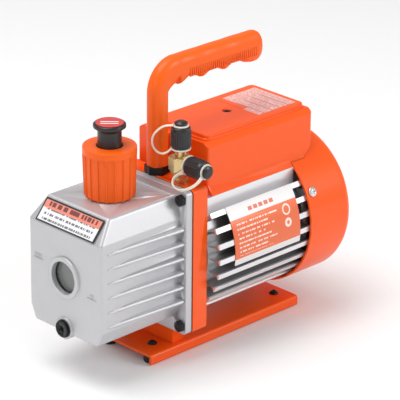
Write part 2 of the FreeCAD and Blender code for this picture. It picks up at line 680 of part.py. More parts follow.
# Bracket -------------------------------------------------------------------------------------------------------------
def pump_bracket():
    """Cast bracket: carries pump and motor, the front bearing, the shaft seal, the handle and the intake."""
    plate = rounded_plate(BRACKET_HALF_W, BRACKET_BOTTOM_Z, BRACKET_TOP_Z, 0, BRACKET_T, FLANGE_CORNER_R)
    foot = box(0, BRACKET_T, -BRACKET_FOOT_HALF_W, BRACKET_FOOT_HALF_W, BASE_H, BRACKET_BOTTOM_Z + 4)
    hub = x_rod(HUB_R, BRACKET_T - 1, HOUSING_FRONT_X + HUB_REACH)
    spigot = x_tube(HOUSING_BORE_R - 4, HOUSING_BORE_R - FIT_GAP, BRACKET_T - 1, BRACKET_T + SPIGOT_T)
    body = fuse([plate, foot, hub, spigot])
    holes = [
        x_rod(SHAFT_R + 1, -1, HOUSING_FRONT_X + HUB_REACH + 1),
        x_rod(SEAL_R, -1, SEAL_T),
        x_rod(BEARING_R, FRONT_BEARING_X, HOUSING_FRONT_X + HUB_REACH + 1),
        z_rod(STUD_R, POST_X, 0, BRACKET_TOP_Z - STUD_IN_BRACKET, BRACKET_TOP_Z + 1),
        z_rod(FITTING_THREAD_R, FITTING_X, FITTING_Y, BRACKET_TOP_Z - FITTING_THREAD_L - 1, BRACKET_TOP_Z + 1),
        z_rod(PORT_R, FITTING_X, FITTING_Y, SHAFT_Z + PORT_RISE, BRACKET_TOP_Z - FITTING_THREAD_L),
        x_rod(PORT_R, -1, FITTING_X, FITTING_Y, SHAFT_Z + PORT_RISE),
    ]
    for y in (-FLANGE_BOLT_Y, FLANGE_BOLT_Y):
        for z in FLANGE_BOLT_ZS:
            holes.append(x_rod(FLANGE_BOLT_R, -1, 9.5, y, z))
    for y in (-BRACKET_SCREW_Y, BRACKET_SCREW_Y):
        holes.append(z_rod(BRACKET_SCREW_R, BRACKET_MID_X, y, BASE_H - 1, BASE_H + BRACKET_SCREW_DEPTH))
    for angle in TIE_BOLT_ANGLES:
        y, z = polar(TIE_BOLT_PCR, angle)
        holes.append(x_rod(TIE_BOLT_R, BRACKET_T - TIE_BOLT_GRIP, BRACKET_T + SPIGOT_T + 1, y, z))
    for y, z in pump_bolt_places():
        holes.append(x_rod(PUMP_BOLT_R, -1, PUMP_BOLT_GRIP, y, z))
    return cut_all(body, holes)


def bracket_screws():
    """Two screws up through the base into the bracket's foot."""
    screws = []
    for y in (-BRACKET_SCREW_Y, BRACKET_SCREW_Y):
        head_z = BASE_H - BASE_T
        stem = z_rod(BRACKET_SCREW_R - SEAT_GAP, BRACKET_MID_X, y, head_z, BASE_H + BRACKET_SCREW_DEPTH - 1)
        head = z_rod(BRACKET_SCREW_R * 1.8, BRACKET_MID_X, y, head_z - 3.4, head_z)
        socket = hexagon(4.0, Vec(BRACKET_MID_X, y, head_z - 4), 2.8, Z_AXIS)
        screws.append(stem.fuse(head).cut(socket).removeSplitter())
    return screws


def shaft_seal():
    """Lip seal pressed into the bracket on the pump side."""
    ring = x_tube(SHAFT_R + 0.06, SEAL_R - SEAT_GAP, 0.2, SEAL_T)
    groove = x_tube(SHAFT_R + 2.0, SEAL_R - 2.4, 0.2, 2.4)
    return ring.cut(groove)


# Pump module ---------------------------------------------------------------------------------------------------------
def pump_bolt_places():
    """(y, z) of the four bolts that hold the pump module together, round the bore's centre."""
    return [polar(PUMP_BOLT_PCR, angle, BORE_Z) for angle in (0.0, 112.0, 180.0, 270.0)]


def bolt_clearances(x0, x1):
    """Clearance holes for the pump bolts."""
    return [x_rod(PUMP_BOLT_R + 0.2, x0, x1, y, z) for y, z in pump_bolt_places()]


def pump_stator():
    """Cylinder with the eccentric bore and a flat for the exhaust reed."""
    ring = x_tube(BORE_R, CYLINDER_R, CYLINDER_FRONT_X, CYLINDER_BACK_X, 0, BORE_Z)
    flat = box(CYLINDER_FRONT_X + 2, CYLINDER_BACK_X - 2, -CYLINDER_R, CYLINDER_R, BORE_Z + VALVE_FLAT_H, BORE_Z + 2 * CYLINDER_R)
    flat = about_shaft(flat, -VALVE_ANGLE, BORE_Z)
    middle = (CYLINDER_FRONT_X + CYLINDER_BACK_X) / 2
    port = z_rod(VALVE_HOLE_R, middle - 7, 0, BORE_Z + BORE_R - 4, BORE_Z + CYLINDER_R)
    screws = [z_rod(VALVE_SCREW_R, middle + 9, 0, BORE_Z + BORE_R + 0.6, BORE_Z + CYLINDER_R)]
    tools = [about_shaft(tool, -VALVE_ANGLE, BORE_Z) for tool in [port] + screws]
    return cut_all(ring, [flat] + tools + bolt_clearances(CYLINDER_FRONT_X - 1, CYLINDER_BACK_X + 1))


def pump_front_plate():
    """Outer end plate, with a blind journal bore."""
    plate = x_rod(CYLINDER_R, PUMP_FRONT_X, CYLINDER_FRONT_X, 0, BORE_Z)
    journal = x_rod(SHAFT_R + FIT_GAP, CYLINDER_FRONT_X - FRONT_JOURNAL_L - 0.6, CYLINDER_FRONT_X + 1)
    return cut_all(plate, [journal] + bolt_clearances(PUMP_FRONT_X - 1, CYLINDER_FRONT_X + 1))


def pump_back_plate():
    """Inner end plate, with the journal bore and the intake channel from the bracket to the crescent."""
    plate = x_rod(CYLINDER_R, -PLATE_T, 0, 0, BORE_Z)
    port_z = SHAFT_Z + PORT_RISE
    channel = box(-3.0, 1, FITTING_Y - PORT_R, PORT_Y + PORT_R, port_z - PORT_R, port_z + PORT_R)
    port = x_rod(PORT_R, -PLATE_T - 1, 1, PORT_Y, port_z)
    journal = x_rod(SHAFT_R + FIT_GAP, -PLATE_T - 1, 1)
    return cut_all(plate, [channel, port, journal] + bolt_clearances(-PLATE_T - 1, 1))


def pump_bolts():
    """Four socket bolts through the pump module into the bracket."""
    bolts = []
    for y, z in pump_bolt_places():
        stem = x_rod(PUMP_BOLT_R - FIT_GAP, PUMP_FRONT_X - 0.5, PUMP_BOLT_GRIP - 1, y, z)
        head = x_rod(PUMP_BOLT_HEAD_R, PUMP_FRONT_X - PUMP_BOLT_HEAD_H, PUMP_FRONT_X, y, z)
        socket = hexagon(3.0, Vec(PUMP_FRONT_X - PUMP_BOLT_HEAD_H - 1, y, z), 3.2, X_AXIS)
        bolts.append(stem.fuse(head).cut(socket).removeSplitter())
    return bolts


def pump_rotor():
    """Rotor with two vane slots, cross holes for the vane springs, two journals and a drive slot."""
    x0, x1 = CYLINDER_FRONT_X + ROTOR_END_GAP, CYLINDER_BACK_X - ROTOR_END_GAP
    body = fuse([x_rod(ROTOR_R, x0, x1), x_rod(SHAFT_R, x0 - FRONT_JOURNAL_L, x0 + 1),
                 x_rod(SHAFT_R, x1 - 1, x1 + BACK_JOURNAL_L)])
    slot_half = VANE_T / 2 + VANE_SLOT_GAP
    tools = []
    for side in (-1, 1):
        near, far = sorted((side * (ROTOR_R - SLOT_DEPTH), side * (ROTOR_R + 1)))
        tools.append(box(x0 - 0.01, x1 + 0.01, near, far, SHAFT_Z - slot_half, SHAFT_Z + slot_half))
    for x in spring_places():
        tools.append(rod(SPRING_R + 0.35, Vec(x, -ROTOR_R + 4, SHAFT_Z), 2 * (ROTOR_R - 4), Y_AXIS))
    drive = box(x1 + BACK_JOURNAL_L - TONGUE_L - 0.2, x1 + BACK_JOURNAL_L + 1, -SHAFT_R - 1, SHAFT_R + 1,
                SHAFT_Z - TONGUE_W / 2, SHAFT_Z + TONGUE_W / 2)
    return cut_all(body, tools + [drive])


def spring_places():
    """X of the two vane springs."""
    middle = (CYLINDER_FRONT_X + CYLINDER_BACK_X) / 2
    return (middle - SPRING_SPACING / 2, middle + SPRING_SPACING / 2)


def vane(side):
    """One sliding vane, held in flush with the rotor, on the +Y or -Y side."""
    near, far = sorted((side * (ROTOR_R - VANE_H), side * (ROTOR_R - 0.1)))
    x0, x1 = CYLINDER_FRONT_X + 2 * ROTOR_END_GAP, CYLINDER_BACK_X - 2 * ROTOR_END_GAP
    return box(x0, x1, near, far, SHAFT_Z - VANE_T / 2, SHAFT_Z + VANE_T / 2)


def vane_springs():
    """Two coil springs that push the vanes apart."""
    half = ROTOR_R - VANE_H - SPRING_WIRE_R
    springs = []
    for x in spring_places():
        pitch = 2 * half / SPRING_TURNS
        path = Part.Wire(Part.makeHelix(pitch, 2 * half, SPRING_R - SPRING_WIRE_R))
        ring = Part.Wire(Part.makeCircle(SPRING_WIRE_R, Vec(SPRING_R - SPRING_WIRE_R, 0, 0), Y_AXIS))
        coil = path.makePipeShell([ring], True, True)
        coil.rotate(Vec(0, 0, 0), X_AXIS, -90)
        coil.translate(Vec(x, -half, SHAFT_Z))
        springs.append(coil)
    return springs


def exhaust_valve():
    """Leaf valve over the exhaust port, its stop and the screw that clamps both."""
    middle = (CYLINDER_FRONT_X + CYLINDER_BACK_X) / 2
    flat_z = BORE_Z + VALVE_FLAT_H
    x0, x1 = middle - REED_L / 2, middle + REED_L / 2
    hinge_x = middle + 4.5
    reed = box(x0, hinge_x, -REED_W / 2, REED_W / 2, flat_z + 0.02, flat_z + 0.02 + REED_T)
    top = flat_z + REED_PACKER_T
    root = box(hinge_x + 0.05, x1, -REED_W / 2, REED_W / 2, flat_z, top)
    stop = xz_prism([(x1, top), (x1, top + REED_STOP_T), (hinge_x, top + REED_STOP_T),
                     (x0, top + REED_STOP_T + REED_STOP_LIFT), (x0, top + REED_STOP_LIFT), (hinge_x, top)],
                    -REED_W / 2, REED_W / 2)
    hole = z_rod(VALVE_SCREW_R + 0.15, middle + 9, 0, flat_z - 1, flat_z + 9)
    stem = z_rod(VALVE_SCREW_R - FIT_GAP, middle + 9, 0, BORE_Z + BORE_R + 1, top + REED_STOP_T)
    head = z_rod(VALVE_SCREW_HEAD_R, middle + 9, 0, top + REED_STOP_T, top + REED_STOP_T + 1.8)
    groove = box(middle + 5, middle + 13, -0.4, 0.4, top + REED_STOP_T + 1.0, top + REED_STOP_T + 3)
    pieces = [reed, root.cut(hole), stop.cut(hole), stem.fuse(head).cut(groove).removeSplitter()]
    return [about_shaft(piece, -VALVE_ANGLE, BORE_Z) for piece in pieces]


# Intake fitting ------------------------------------------------------------------------------------------------------
def flare_profile(neck_l):
    """(along, radius) outline of one flare port, from the start of its neck."""
    return [(0, FITTING_NECK_R), (neck_l, FITTING_NECK_R), (neck_l, FLARE_R), (neck_l + FLARE_L, FLARE_R),
            (neck_l + FLARE_L + FLARE_TIP_L, FLARE_TIP_R)]


def intake_fitting():
    """Brass intake tee with an upright flare port and a side one."""
    base_z = BRACKET_TOP_Z
    stem = z_rod(FITTING_THREAD_R - SEAT_GAP, FITTING_X, FITTING_Y, base_z - FITTING_THREAD_L, base_z + 1)
    body = turned([(0, FITTING_STEM_R), (FITTING_STEM_H, FITTING_STEM_R), (FITTING_BODY_Z, FITTING_BODY_R),
                   (FITTING_BODY_TOP - 1, FITTING_BODY_R), (FITTING_BODY_TOP, FITTING_BODY_R - 1)],
                  Vec(FITTING_X, FITTING_Y, base_z), Z_AXIS)
    top = turned(flare_profile(FITTING_NECK_L), Vec(FITTING_X, FITTING_Y, TOP_NECK_Z - 0.01), Z_AXIS)
    centre = Vec(FITTING_X, FITTING_Y, BRANCH_Z)
    side = turned(flare_profile(BRANCH_NECK_L), centre + BRANCH_AXIS * BRANCH_NECK_START, BRANCH_AXIS)
    brass = fuse([stem, body, top, side])
    top_end = TOP_NECK_Z + FITTING_NECK_L + FLARE_L + FLARE_TIP_L
    bores = [
        z_rod(FITTING_BORE_R, FITTING_X, FITTING_Y, base_z - FITTING_THREAD_L - 1, top_end + 1),
        rod(FITTING_BORE_R, centre, BRANCH_NECK_START + BRANCH_NECK_L + FLARE_L + FLARE_TIP_L + 1, BRANCH_AXIS),
    ]
    return cut_all(brass, bores)


def intake_screen():
    """Gauze cup in the bracket's intake passage, under the fitting."""
    top = BRACKET_TOP_Z - FITTING_THREAD_L
    cup = z_rod(FITTING_THREAD_R - 0.4, FITTING_X, FITTING_Y, top - 1.0, top)
    return cup.cut(z_rod(1.2, FITTING_X, FITTING_Y, top - 2, top + 1))


def flare_cap(neck_end, axis):
    """Ribbed cap over a flare port whose neck ends at neck_end."""
    start = neck_end + axis * (TETHER_GAP + 0.1)
    side = Vec(0, 0, 1) if abs(axis.z) < 0.9 else Vec(1, 0, 0)
    ribs = []
    for k in range(2 * FLARE_CAP_RIBS):
        radius = FLARE_CAP_R if k % 2 else FLARE_CAP_R - FLARE_CAP_RIB_DEPTH
        turn = FreeCAD.Rotation(axis, 180.0 * k / FLARE_CAP_RIBS)
        ribs.append(start + turn.multVec(side) * radius)
    body = loop_face(ribs).extrude(axis * FLARE_CAP_L)
    envelope = turned([(0, FLARE_CAP_R - 0.6), (1.2, FLARE_CAP_R), (FLARE_CAP_L - 3.2, FLARE_CAP_R),
                       (FLARE_CAP_L - 3.0, FLARE_CAP_R - 0.5), (FLARE_CAP_L - 0.8, FLARE_CAP_R - 0.5),
                       (FLARE_CAP_L, FLARE_CAP_R - 1.4)], start, axis)
    top = start + axis * FLARE_CAP_L
    waist = rod(FLARE_CAP_WAIST_R, top - axis * 0.5, FLARE_CAP_WAIST_L + 1.0, axis)
    button = turned([(0, FLARE_CAP_BUTTON_R), (FLARE_CAP_BUTTON_T * 0.5, FLARE_CAP_BUTTON_R),
                     (FLARE_CAP_BUTTON_T, FLARE_CAP_BUTTON_R * 0.6)], top + axis * FLARE_CAP_WAIST_L, axis)
    well = rod(FLARE_R + FLARE_CAP_CLEAR, start - axis, 1 + FLARE_CAP_WELL_L, axis)
    tip = rod(FLARE_CAP_TIP_R, start, FLARE_L + FLARE_TIP_L + FLARE_CAP_CLEAR, axis)
    solid = fuse([body.common(envelope), waist, button])
    return cut_all(solid, [well, tip])


def tether(neck_end, axis, loop_side):
    """Soft strap: a ring round the port's neck, a loop, and a ring under the cap's button."""
    lower = neck_end - axis * (TETHER_T + TETHER_GAP)
    upper = neck_end + axis * (TETHER_GAP + 0.1 + FLARE_CAP_L + (FLARE_CAP_WAIST_L - TETHER_T) / 2)
    neck_ring = rod(TETHER_NECK_RING_R, lower, TETHER_T, axis).cut(rod(FITTING_NECK_R + 0.2, lower - axis, 9, axis))
    cap_ring = rod(TETHER_CAP_RING_R, upper, TETHER_T, axis)
    cap_ring = cap_ring.cut(rod(FLARE_CAP_WAIST_R + 0.2, upper - axis, 9, axis))
    gap = (upper - lower).dot(axis)
    radius = gap / 2
    middle = lower + axis * (radius + TETHER_T / 2) + loop_side * TETHER_REACH
    across = axis.cross(loop_side)
    shift = across * (TETHER_W / 2)
    outer = rod(radius + TETHER_T / 2, middle - shift, TETHER_W, across)
    inner = rod(radius - TETHER_T / 2, middle - shift * 2, TETHER_W * 2, across)
    bow = outer.cut(inner)
    keep_far = rod(4 * radius, middle - shift * 2 - loop_side * 4 * radius, TETHER_W * 2, across)
    bow = bow.cut(keep_far.common(half_space(middle, loop_side, 5 * radius, across)))
    legs = []
    for base, start_r in ((lower, TETHER_NECK_RING_R - 1.2), (upper, TETHER_CAP_RING_R - 1.2)):
        a = base + loop_side * start_r - shift
        b = base + loop_side * TETHER_REACH - shift
        legs.append(loop_face([a, b, b + across * TETHER_W, a + across * TETHER_W]).extrude(axis * TETHER_T))
    return fuse([neck_ring, cap_ring, bow] + legs)


def half_space(point, normal, size, across):
    """A big block on the side of a point that normal points away from."""
    along = normal.cross(across)
    corner = point - along * size - across * size
    face = loop_face([corner, corner + along * 2 * size, corner + along * 2 * size + across * 2 * size,
                      corner + across * 2 * size])
    return face.extrude(normal * -size)


# Motor ---------------------------------------------------------------------------------------------------------------
def motor_fin(degrees):
    """One T-shaped fin of the extrusion."""
    web = box(HOUSING_FRONT_X + FIN_START, HOUSING_BACK_X, HOUSING_R - 1, HOUSING_FIN_R - 0.5,
              SHAFT_Z - MOTOR_FIN_WEB_T / 2, SHAFT_Z + MOTOR_FIN_WEB_T / 2)
    cap = box(HOUSING_FRONT_X + FIN_START, HOUSING_BACK_X, HOUSING_FIN_R - MOTOR_FIN_CAP_T, HOUSING_FIN_R,
              SHAFT_Z - MOTOR_FIN_CAP_W / 2, SHAFT_Z + MOTOR_FIN_CAP_W / 2)
    return about_shaft(web.fuse(cap), degrees)


def motor_fin_angles():
    """Angles of all the fins, both sides, counted from +Y."""
    angles = []
    for k in range(MOTOR_FIN_COUNT):
        angle = MOTOR_FIN_TOP - k * MOTOR_FIN_PITCH
        angles += [angle, 180.0 - angle]
    return angles


def motor_housing():
    """Extruded aluminium housing: T fins round the sides and below, and a seat for the wiring box on top."""
    barrel = x_rod(HOUSING_R, HOUSING_FRONT_X, HOUSING_BACK_X)
    seat = box(HOUSING_FRONT_X + FIN_START, COVER_FRONT_X - RUN_GAP, -SEAT_HALF_W, SEAT_HALF_W, SEAT_Z - SEAT_DEPTH, SEAT_Z)
    body = fuse([barrel, seat] + [motor_fin(angle) for angle in motor_fin_angles()])
    holes = [x_rod(HOUSING_BORE_R, HOUSING_FRONT_X - 1, HOUSING_BACK_X + 1)]
    for angle in TIE_BOLT_ANGLES:
        y, z = polar(TIE_BOLT_PCR, angle)
        holes.append(x_rod(TIE_BOLT_R + 0.2, HOUSING_FRONT_X - 1, HOUSING_BACK_X + 1, y, z))
    return cut_all(body, holes)


def nameplate():
    """Thin plate bent round the fin caps on the -Y side."""
    x0 = HOUSING_FRONT_X + PLATE_FRONT
    inner = HOUSING_FIN_R + 0.15
    sheet = x_tube(inner, inner + PLATE_SHEET_T, x0, x0 + PLATE_L)
    far = 2 * HOUSING_FIN_R
    y_top, z_top = polar(far, 180.0 - PLATE_ANGLE_TOP)
    y_low, z_low = polar(far, 180.0 - PLATE_ANGLE_BOTTOM)
    wedge = yz_prism([(0, SHAFT_Z), (y_top, z_top), (-far, SHAFT_Z + far * 0.4), (y_low, z_low)], x0 - 1, x0 + PLATE_L + 1)
    return sheet.common(wedge)


def stator_core():
    """Laminated core with winding slots."""
    ring = x_tube(CORE_BORE_R, HOUSING_BORE_R - SEAT_GAP, CORE_X, CORE_X + CORE_L)
    slots = []
    for k in range(CORE_SLOTS):
        slot = box(CORE_X - 1, CORE_X + CORE_L + 1, CORE_BORE_R + 1.0, CORE_BORE_R + CORE_SLOT_DEPTH,
                   SHAFT_Z - CORE_SLOT_W / 2, SHAFT_Z + CORE_SLOT_W / 2)
        mouth = box(CORE_X - 1, CORE_X + CORE_L + 1, CORE_BORE_R - 1.0, CORE_BORE_R + 1.5, SHAFT_Z - 0.8, SHAFT_Z + 0.8)
        slots += [about_shaft(slot, 360.0 * k / CORE_SLOTS), about_shaft(mouth, 360.0 * k / CORE_SLOTS)]
    return cut_all(ring, slots)


def stator_windings():
    """Coil bundles at both ends of the core, joined by the sides that lie in its slots."""
    pieces = [
        x_tube(WINDING_IN_R, WINDING_OUT_R, CORE_X - WINDING_L, CORE_X - 0.2),
        x_tube(WINDING_IN_R, WINDING_OUT_R, CORE_X + CORE_L + 0.2, CORE_X + CORE_L + WINDING_L),
    ]
    for k in range(CORE_SLOTS):
        side = box(CORE_X - 1, CORE_X + CORE_L + 1, CORE_BORE_R + 2.4, CORE_BORE_R + CORE_SLOT_DEPTH - 0.3,
                   SHAFT_Z - CORE_SLOT_W / 2 + 0.2, SHAFT_Z + CORE_SLOT_W / 2 - 0.2)
        pieces.append(about_shaft(side, 360.0 * k / CORE_SLOTS))
    return fuse(pieces)


def motor_rotor():
    """Squirrel cage rotor core with its end rings."""
    core = x_rod(ROTOR_CORE_R, CORE_X, CORE_X + CORE_L)
    rings = [x_tube(SHAFT_R + 6, ROTOR_CORE_R - 2, x, x + ROTOR_RING_T + 0.5)
             for x in (CORE_X - ROTOR_RING_T, CORE_X + CORE_L - 0.5)]
    return fuse([core] + rings).cut(x_rod(SHAFT_R + SEAT_GAP, CORE_X - 9, CORE_X + CORE_L + 9))


def motor_shaft():
    """Shaft from the pump coupling's tongue to the fan."""
    front = -PLATE_T + BACK_JOURNAL_L + ROTOR_END_GAP
    shaft = x_rod(SHAFT_R, front, FAN_X + FAN_L + 2)
    tongue = box(front - TONGUE_L + 0.2, front + 1, -SHAFT_R * 0.8, SHAFT_R * 0.8, SHAFT_Z - TONGUE_W / 2 + FIT_GAP,
                 SHAFT_Z + TONGUE_W / 2 - FIT_GAP)
    return shaft.fuse(tongue).removeSplitter()


def bearings():
    """Both ball bearings: their outer rings, inner rings and balls with cages."""
    outers, inners, balls = [], [], []
    groove_r = (SHAFT_R + BEARING_R) / 2
    for x in (FRONT_BEARING_X, REAR_BEARING_X):
        middle = x + BEARING_T / 2
        track = Part.makeTorus(groove_r, BALL_R + 0.06, Vec(middle, 0, SHAFT_Z), X_AXIS)
        outers.append(x_tube(BEARING_R - BEARING_RACE_T, BEARING_R - SEAT_GAP, x, x + BEARING_T).cut(track))
        inners.append(x_tube(SHAFT_R + SEAT_GAP, SHAFT_R + BEARING_RACE_T, x, x + BEARING_T).cut(track))
        cage = x_tube(groove_r - 0.8, groove_r + 0.8, middle + 1.2, middle + 3.2)
        ring = [Part.makeSphere(BALL_R, Vec(middle, *polar(groove_r, 360.0 * k / BALL_COUNT))) for k in range(BALL_COUNT)]
        balls.append(fuse([cage] + ring))
    return outers, inners, balls


def rear_end_bell():
    """Rear end shield that holds the rear bearing and closes the housing."""
    disc = x_rod(HOUSING_R, HOUSING_BACK_X, END_BELL_BACK_X)
    hub = x_rod(END_BELL_HUB_R, REAR_BEARING_X - 1.0, HOUSING_BACK_X + 1)
    spigot = x_tube(HOUSING_BORE_R - 4, HOUSING_BORE_R - FIT_GAP, HOUSING_BACK_X - SPIGOT_T, HOUSING_BACK_X + 1)
    body = fuse([disc, hub, spigot] + cover_lugs())
    holes = [x_rod(BEARING_R, REAR_BEARING_X - 2, REAR_BEARING_X + BEARING_T),
             x_rod(SHAFT_R + 0.5, REAR_BEARING_X, END_BELL_BACK_X + 1)]
    for angle in TIE_BOLT_ANGLES:
        y, z = polar(TIE_BOLT_PCR, angle)
        holes.append(x_rod(TIE_BOLT_R + 0.2, HOUSING_BACK_X - SPIGOT_T - 1, END_BELL_BACK_X + 1, y, z))
    for angle in COVER_SCREW_ANGLES:
        holes.append(about_shaft(rod(COVER_SCREW_R, Vec(cover_screw_x(), HOUSING_R - 6, SHAFT_Z), COVER_R, Y_AXIS), angle))
    return cut_all(body, holes)


def cover_screw_x():
    """X of the fan cover's screws."""
    return COVER_FRONT_X + COVER_SCREW_INSET


def cover_lugs():
    """Lugs of the end shield that the fan cover is screwed to."""
    lugs = []
    for angle in COVER_SCREW_ANGLES:
        lug = box(HOUSING_BACK_X, cover_screw_x() + COVER_LUG_W / 2, HOUSING_R - 8, COVER_R - COVER_WALL - 0.1,
                  SHAFT_Z - COVER_LUG_W / 2, SHAFT_Z + COVER_LUG_W / 2)
        inside = x_rod(COVER_R - COVER_WALL - 0.05, HOUSING_BACK_X - 1, cover_screw_x() + COVER_LUG_W)
        lugs.append(about_shaft(lug, angle).common(inside))
    return lugs


def tie_bolts():
    """Four long bolts that clamp end shield, housing and bracket."""
    bolts = []
    for angle in TIE_BOLT_ANGLES:
        y, z = polar(TIE_BOLT_PCR, angle)
        stem = x_rod(TIE_BOLT_R - SEAT_GAP, BRACKET_T - TIE_BOLT_GRIP + 0.5, END_BELL_BACK_X + 0.5, y, z)
        head = x_rod(TIE_BOLT_HEAD_R, END_BELL_BACK_X, END_BELL_BACK_X + TIE_BOLT_HEAD_H, y, z)
        bolts.append(stem.fuse(head).removeSplitter())
    return bolts


def fan():
    """Radial cooling fan pressed on the shaft."""
    hub = x_rod(FAN_HUB_R, FAN_X, FAN_X + FAN_L)
    disc = x_rod(FAN_R, FAN_X + FAN_L - FAN_DISC_T, FAN_X + FAN_L)
    blades = []
    for k in range(FAN_BLADES):
        blade = box(FAN_X + 1, FAN_X + FAN_L - 0.5, FAN_HUB_R - 2, FAN_R - 1, SHAFT_Z - FAN_BLADE_T / 2, SHAFT_Z + FAN_BLADE_T / 2)
        blades.append(about_shaft(blade, 360.0 * k / FAN_BLADES))
    vents = []
    for k in range(FAN_BLADES):
        y, z = polar((FAN_HUB_R + FAN_R) / 2, 360.0 * (k + 0.5) / FAN_BLADES)
        vents.append(x_rod(5.5, FAN_X, FAN_X + FAN_L + 1, y, z))
    return cut_all(fuse([hub, disc] + blades), [x_rod(SHAFT_R + SEAT_GAP, FAN_X - 1, FAN_X + FAN_L + 1)] + vents)


# Fan cover -----------------------------------------------------------------------------------------------------------
def cup(radius, x0, x1, edge):
    """A cylinder along X whose far edge is rounded."""
    solid = x_rod(radius, x0, x1)
    rim = [e for e in solid.Edges if e.BoundBox.XMin > x1 - 0.01]
    return solid.makeFillet(edge, rim)


def fan_cover():
    """Deep-drawn fan cover with a slotted grille in its end."""
    outer = cup(COVER_R, COVER_FRONT_X, COVER_BACK_X, COVER_EDGE_R)
    inner = cup(COVER_R - COVER_WALL, COVER_FRONT_X - 5, COVER_BACK_X - COVER_WALL, COVER_EDGE_R - COVER_WALL)
    shell = outer.cut(inner)
    spokes = []
    for k in range(GRILLE_SPOKES):
        spoke = box(COVER_BACK_X - 9, COVER_BACK_X + 9, 0, COVER_R, SHAFT_Z - GRILLE_SPOKE_W / 2, SHAFT_Z + GRILLE_SPOKE_W / 2)
        spokes.append(about_shaft(spoke, 360.0 * (k + 0.5) / GRILLE_SPOKES))
    spokes = fuse(spokes)
    tools = []
    for k in range(GRILLE_RINGS):
        radius = GRILLE_FIRST_R + k * GRILLE_PITCH
        ring = x_tube(radius, radius + GRILLE_SLOT_W, COVER_BACK_X - COVER_WALL - 1, COVER_BACK_X + 1)
        tools.append(ring.cut(spokes))
    for angle in COVER_SCREW_ANGLES:
        tools.append(about_shaft(rod(COVER_SCREW_R + 0.2, Vec(cover_screw_x(), COVER_R - 9, SHAFT_Z), 18, Y_AXIS), angle))
    return cut_all(shell, tools)


def fan_cover_screws():
    """Four cross-slotted pan-head screws round the fan cover."""
    screws = []
    for angle in COVER_SCREW_ANGLES:
        start = Vec(cover_screw_x(), COVER_R + 0.15, SHAFT_Z)
        stem = rod(COVER_SCREW_R - FIT_GAP, start - Y_AXIS * 12, 12.2, Y_AXIS)
        head = turned([(0, COVER_SCREW_HEAD_R), (COVER_SCREW_HEAD_T * 0.5, COVER_SCREW_HEAD_R * 0.92),
                       (COVER_SCREW_HEAD_T, COVER_SCREW_HEAD_R * 0.5)], start, Y_AXIS)
        head_y = start.y + COVER_SCREW_HEAD_T
        x, z = start.x, SHAFT_Z
        cross = box(x - 2, x + 2, head_y - 1.1, head_y + 1, z - 0.4, z + 0.4).fuse(
            box(x - 0.4, x + 0.4, head_y - 1.1, head_y + 1, z - 2, z + 2))
        screws.append(about_shaft(stem.fuse(head).cut(cross).removeSplitter(), angle))
    return screws


# Wiring box ----------------------------------------------------------------------------------------------------------
def box_outline(inset):
    """(y, z) outline of the wiring box across X, taken in by inset."""
    side, top_half = BOX_HALF_W - inset, BOX_TOP_HALF_W - inset
    side_top, top = BOX_SIDE_TOP_Z - inset * 0.5, BOX_TOP_Z - inset
    walls = [(side, side_top), (top_half, top), (-top_half, top), (-side, side_top)]
    if inset:
        return [(-side, SEAT_Z - 4), (side, SEAT_Z - 4)] + walls
    toe, knee = SEAT_HALF_W - BOX_SKIRT_GAP, SEAT_Z + BOX_SKIRT_H
    return [(-side, knee), (-toe, SEAT_Z), (toe, SEAT_Z), (side, knee)] + walls


def notch(margin):
    """The block left out of the hood's front corner, grown by a wall's thickness."""
    return box(BOX_FRONT_X - 1, BOX_FRONT_X + NOTCH_L + margin, -SEAT_HALF_W - 1, NOTCH_Y + margin, SEAT_Z - 9, BOX_TOP_Z + 1)


def heel(margin):
    """What is left out of the hood's low rear corner, rounded, taken in by a wall's thickness."""
    x, z = BOX_BACK_X - BOX_HEEL_R, BOX_HEEL_Z + BOX_HEEL_R
    corner = box(x, BOX_BACK_X + 1, -SEAT_HALF_W - 1, SEAT_HALF_W + 1, SEAT_Z - 9, z)
    return corner.cut(rod(BOX_HEEL_R - margin, Vec(x, -SEAT_HALF_W - 2, z), 2 * SEAT_HALF_W + 4, Y_AXIS))


def capacitor_box():
    """Hood over the motor that houses the wiring, fitted round the motor and the fan cover, open on top for the lid."""
    hood = yz_prism(box_outline(0.0), BOX_FRONT_X, BOX_BACK_X).cut(notch(0.0))
    upright = [e for e in hood.Edges if e.BoundBox.XLength < 0.1 and e.BoundBox.ZLength > 5 and e.BoundBox.YLength < 0.1]
    hood = hood.makeFillet(BOX_EDGE_R, upright).cut(heel(0.0))
    room = yz_prism(box_outline(BOX_WALL), BOX_FRONT_X + BOX_WALL, BOX_BACK_X - BOX_WALL)
    room = room.cut(notch(BOX_WALL)).cut(heel(BOX_WALL))
    window = box(LID_FRONT_X + LID_LIP, LID_BACK_X - LID_LIP, -LID_HALF_W + LID_LIP, LID_HALF_W - LID_LIP,
                 BOX_TOP_Z - 9, BOX_TOP_Z + 9)
    tools = [
        room, window,
        x_rod(HOUSING_R + 0.1, BOX_FRONT_X - 9, COVER_FRONT_X),
        x_rod(COVER_R + 0.1, COVER_FRONT_X - 0.6, BOX_BACK_X + 9),
        box(BOX_BACK_X - 9, BOX_BACK_X + 9, INLET_Y - INLET_BODY_W / 2 - 0.1, INLET_Y + INLET_BODY_W / 2 + 0.1,
            INLET_Z - INLET_BODY_H / 2 - 0.1, INLET_Z + INLET_BODY_H / 2 + 0.1),
        box(BOX_BACK_X - 9, BOX_BACK_X + 9, SWITCH_Y - SWITCH_BODY_W / 2 - 0.1, SWITCH_Y + SWITCH_BODY_W / 2 + 0.1,
            INLET_Z - SWITCH_BODY_H / 2 - 0.1, INLET_Z + SWITCH_BODY_H / 2 + 0.1),
    ]
    return cut_all(hood, tools)


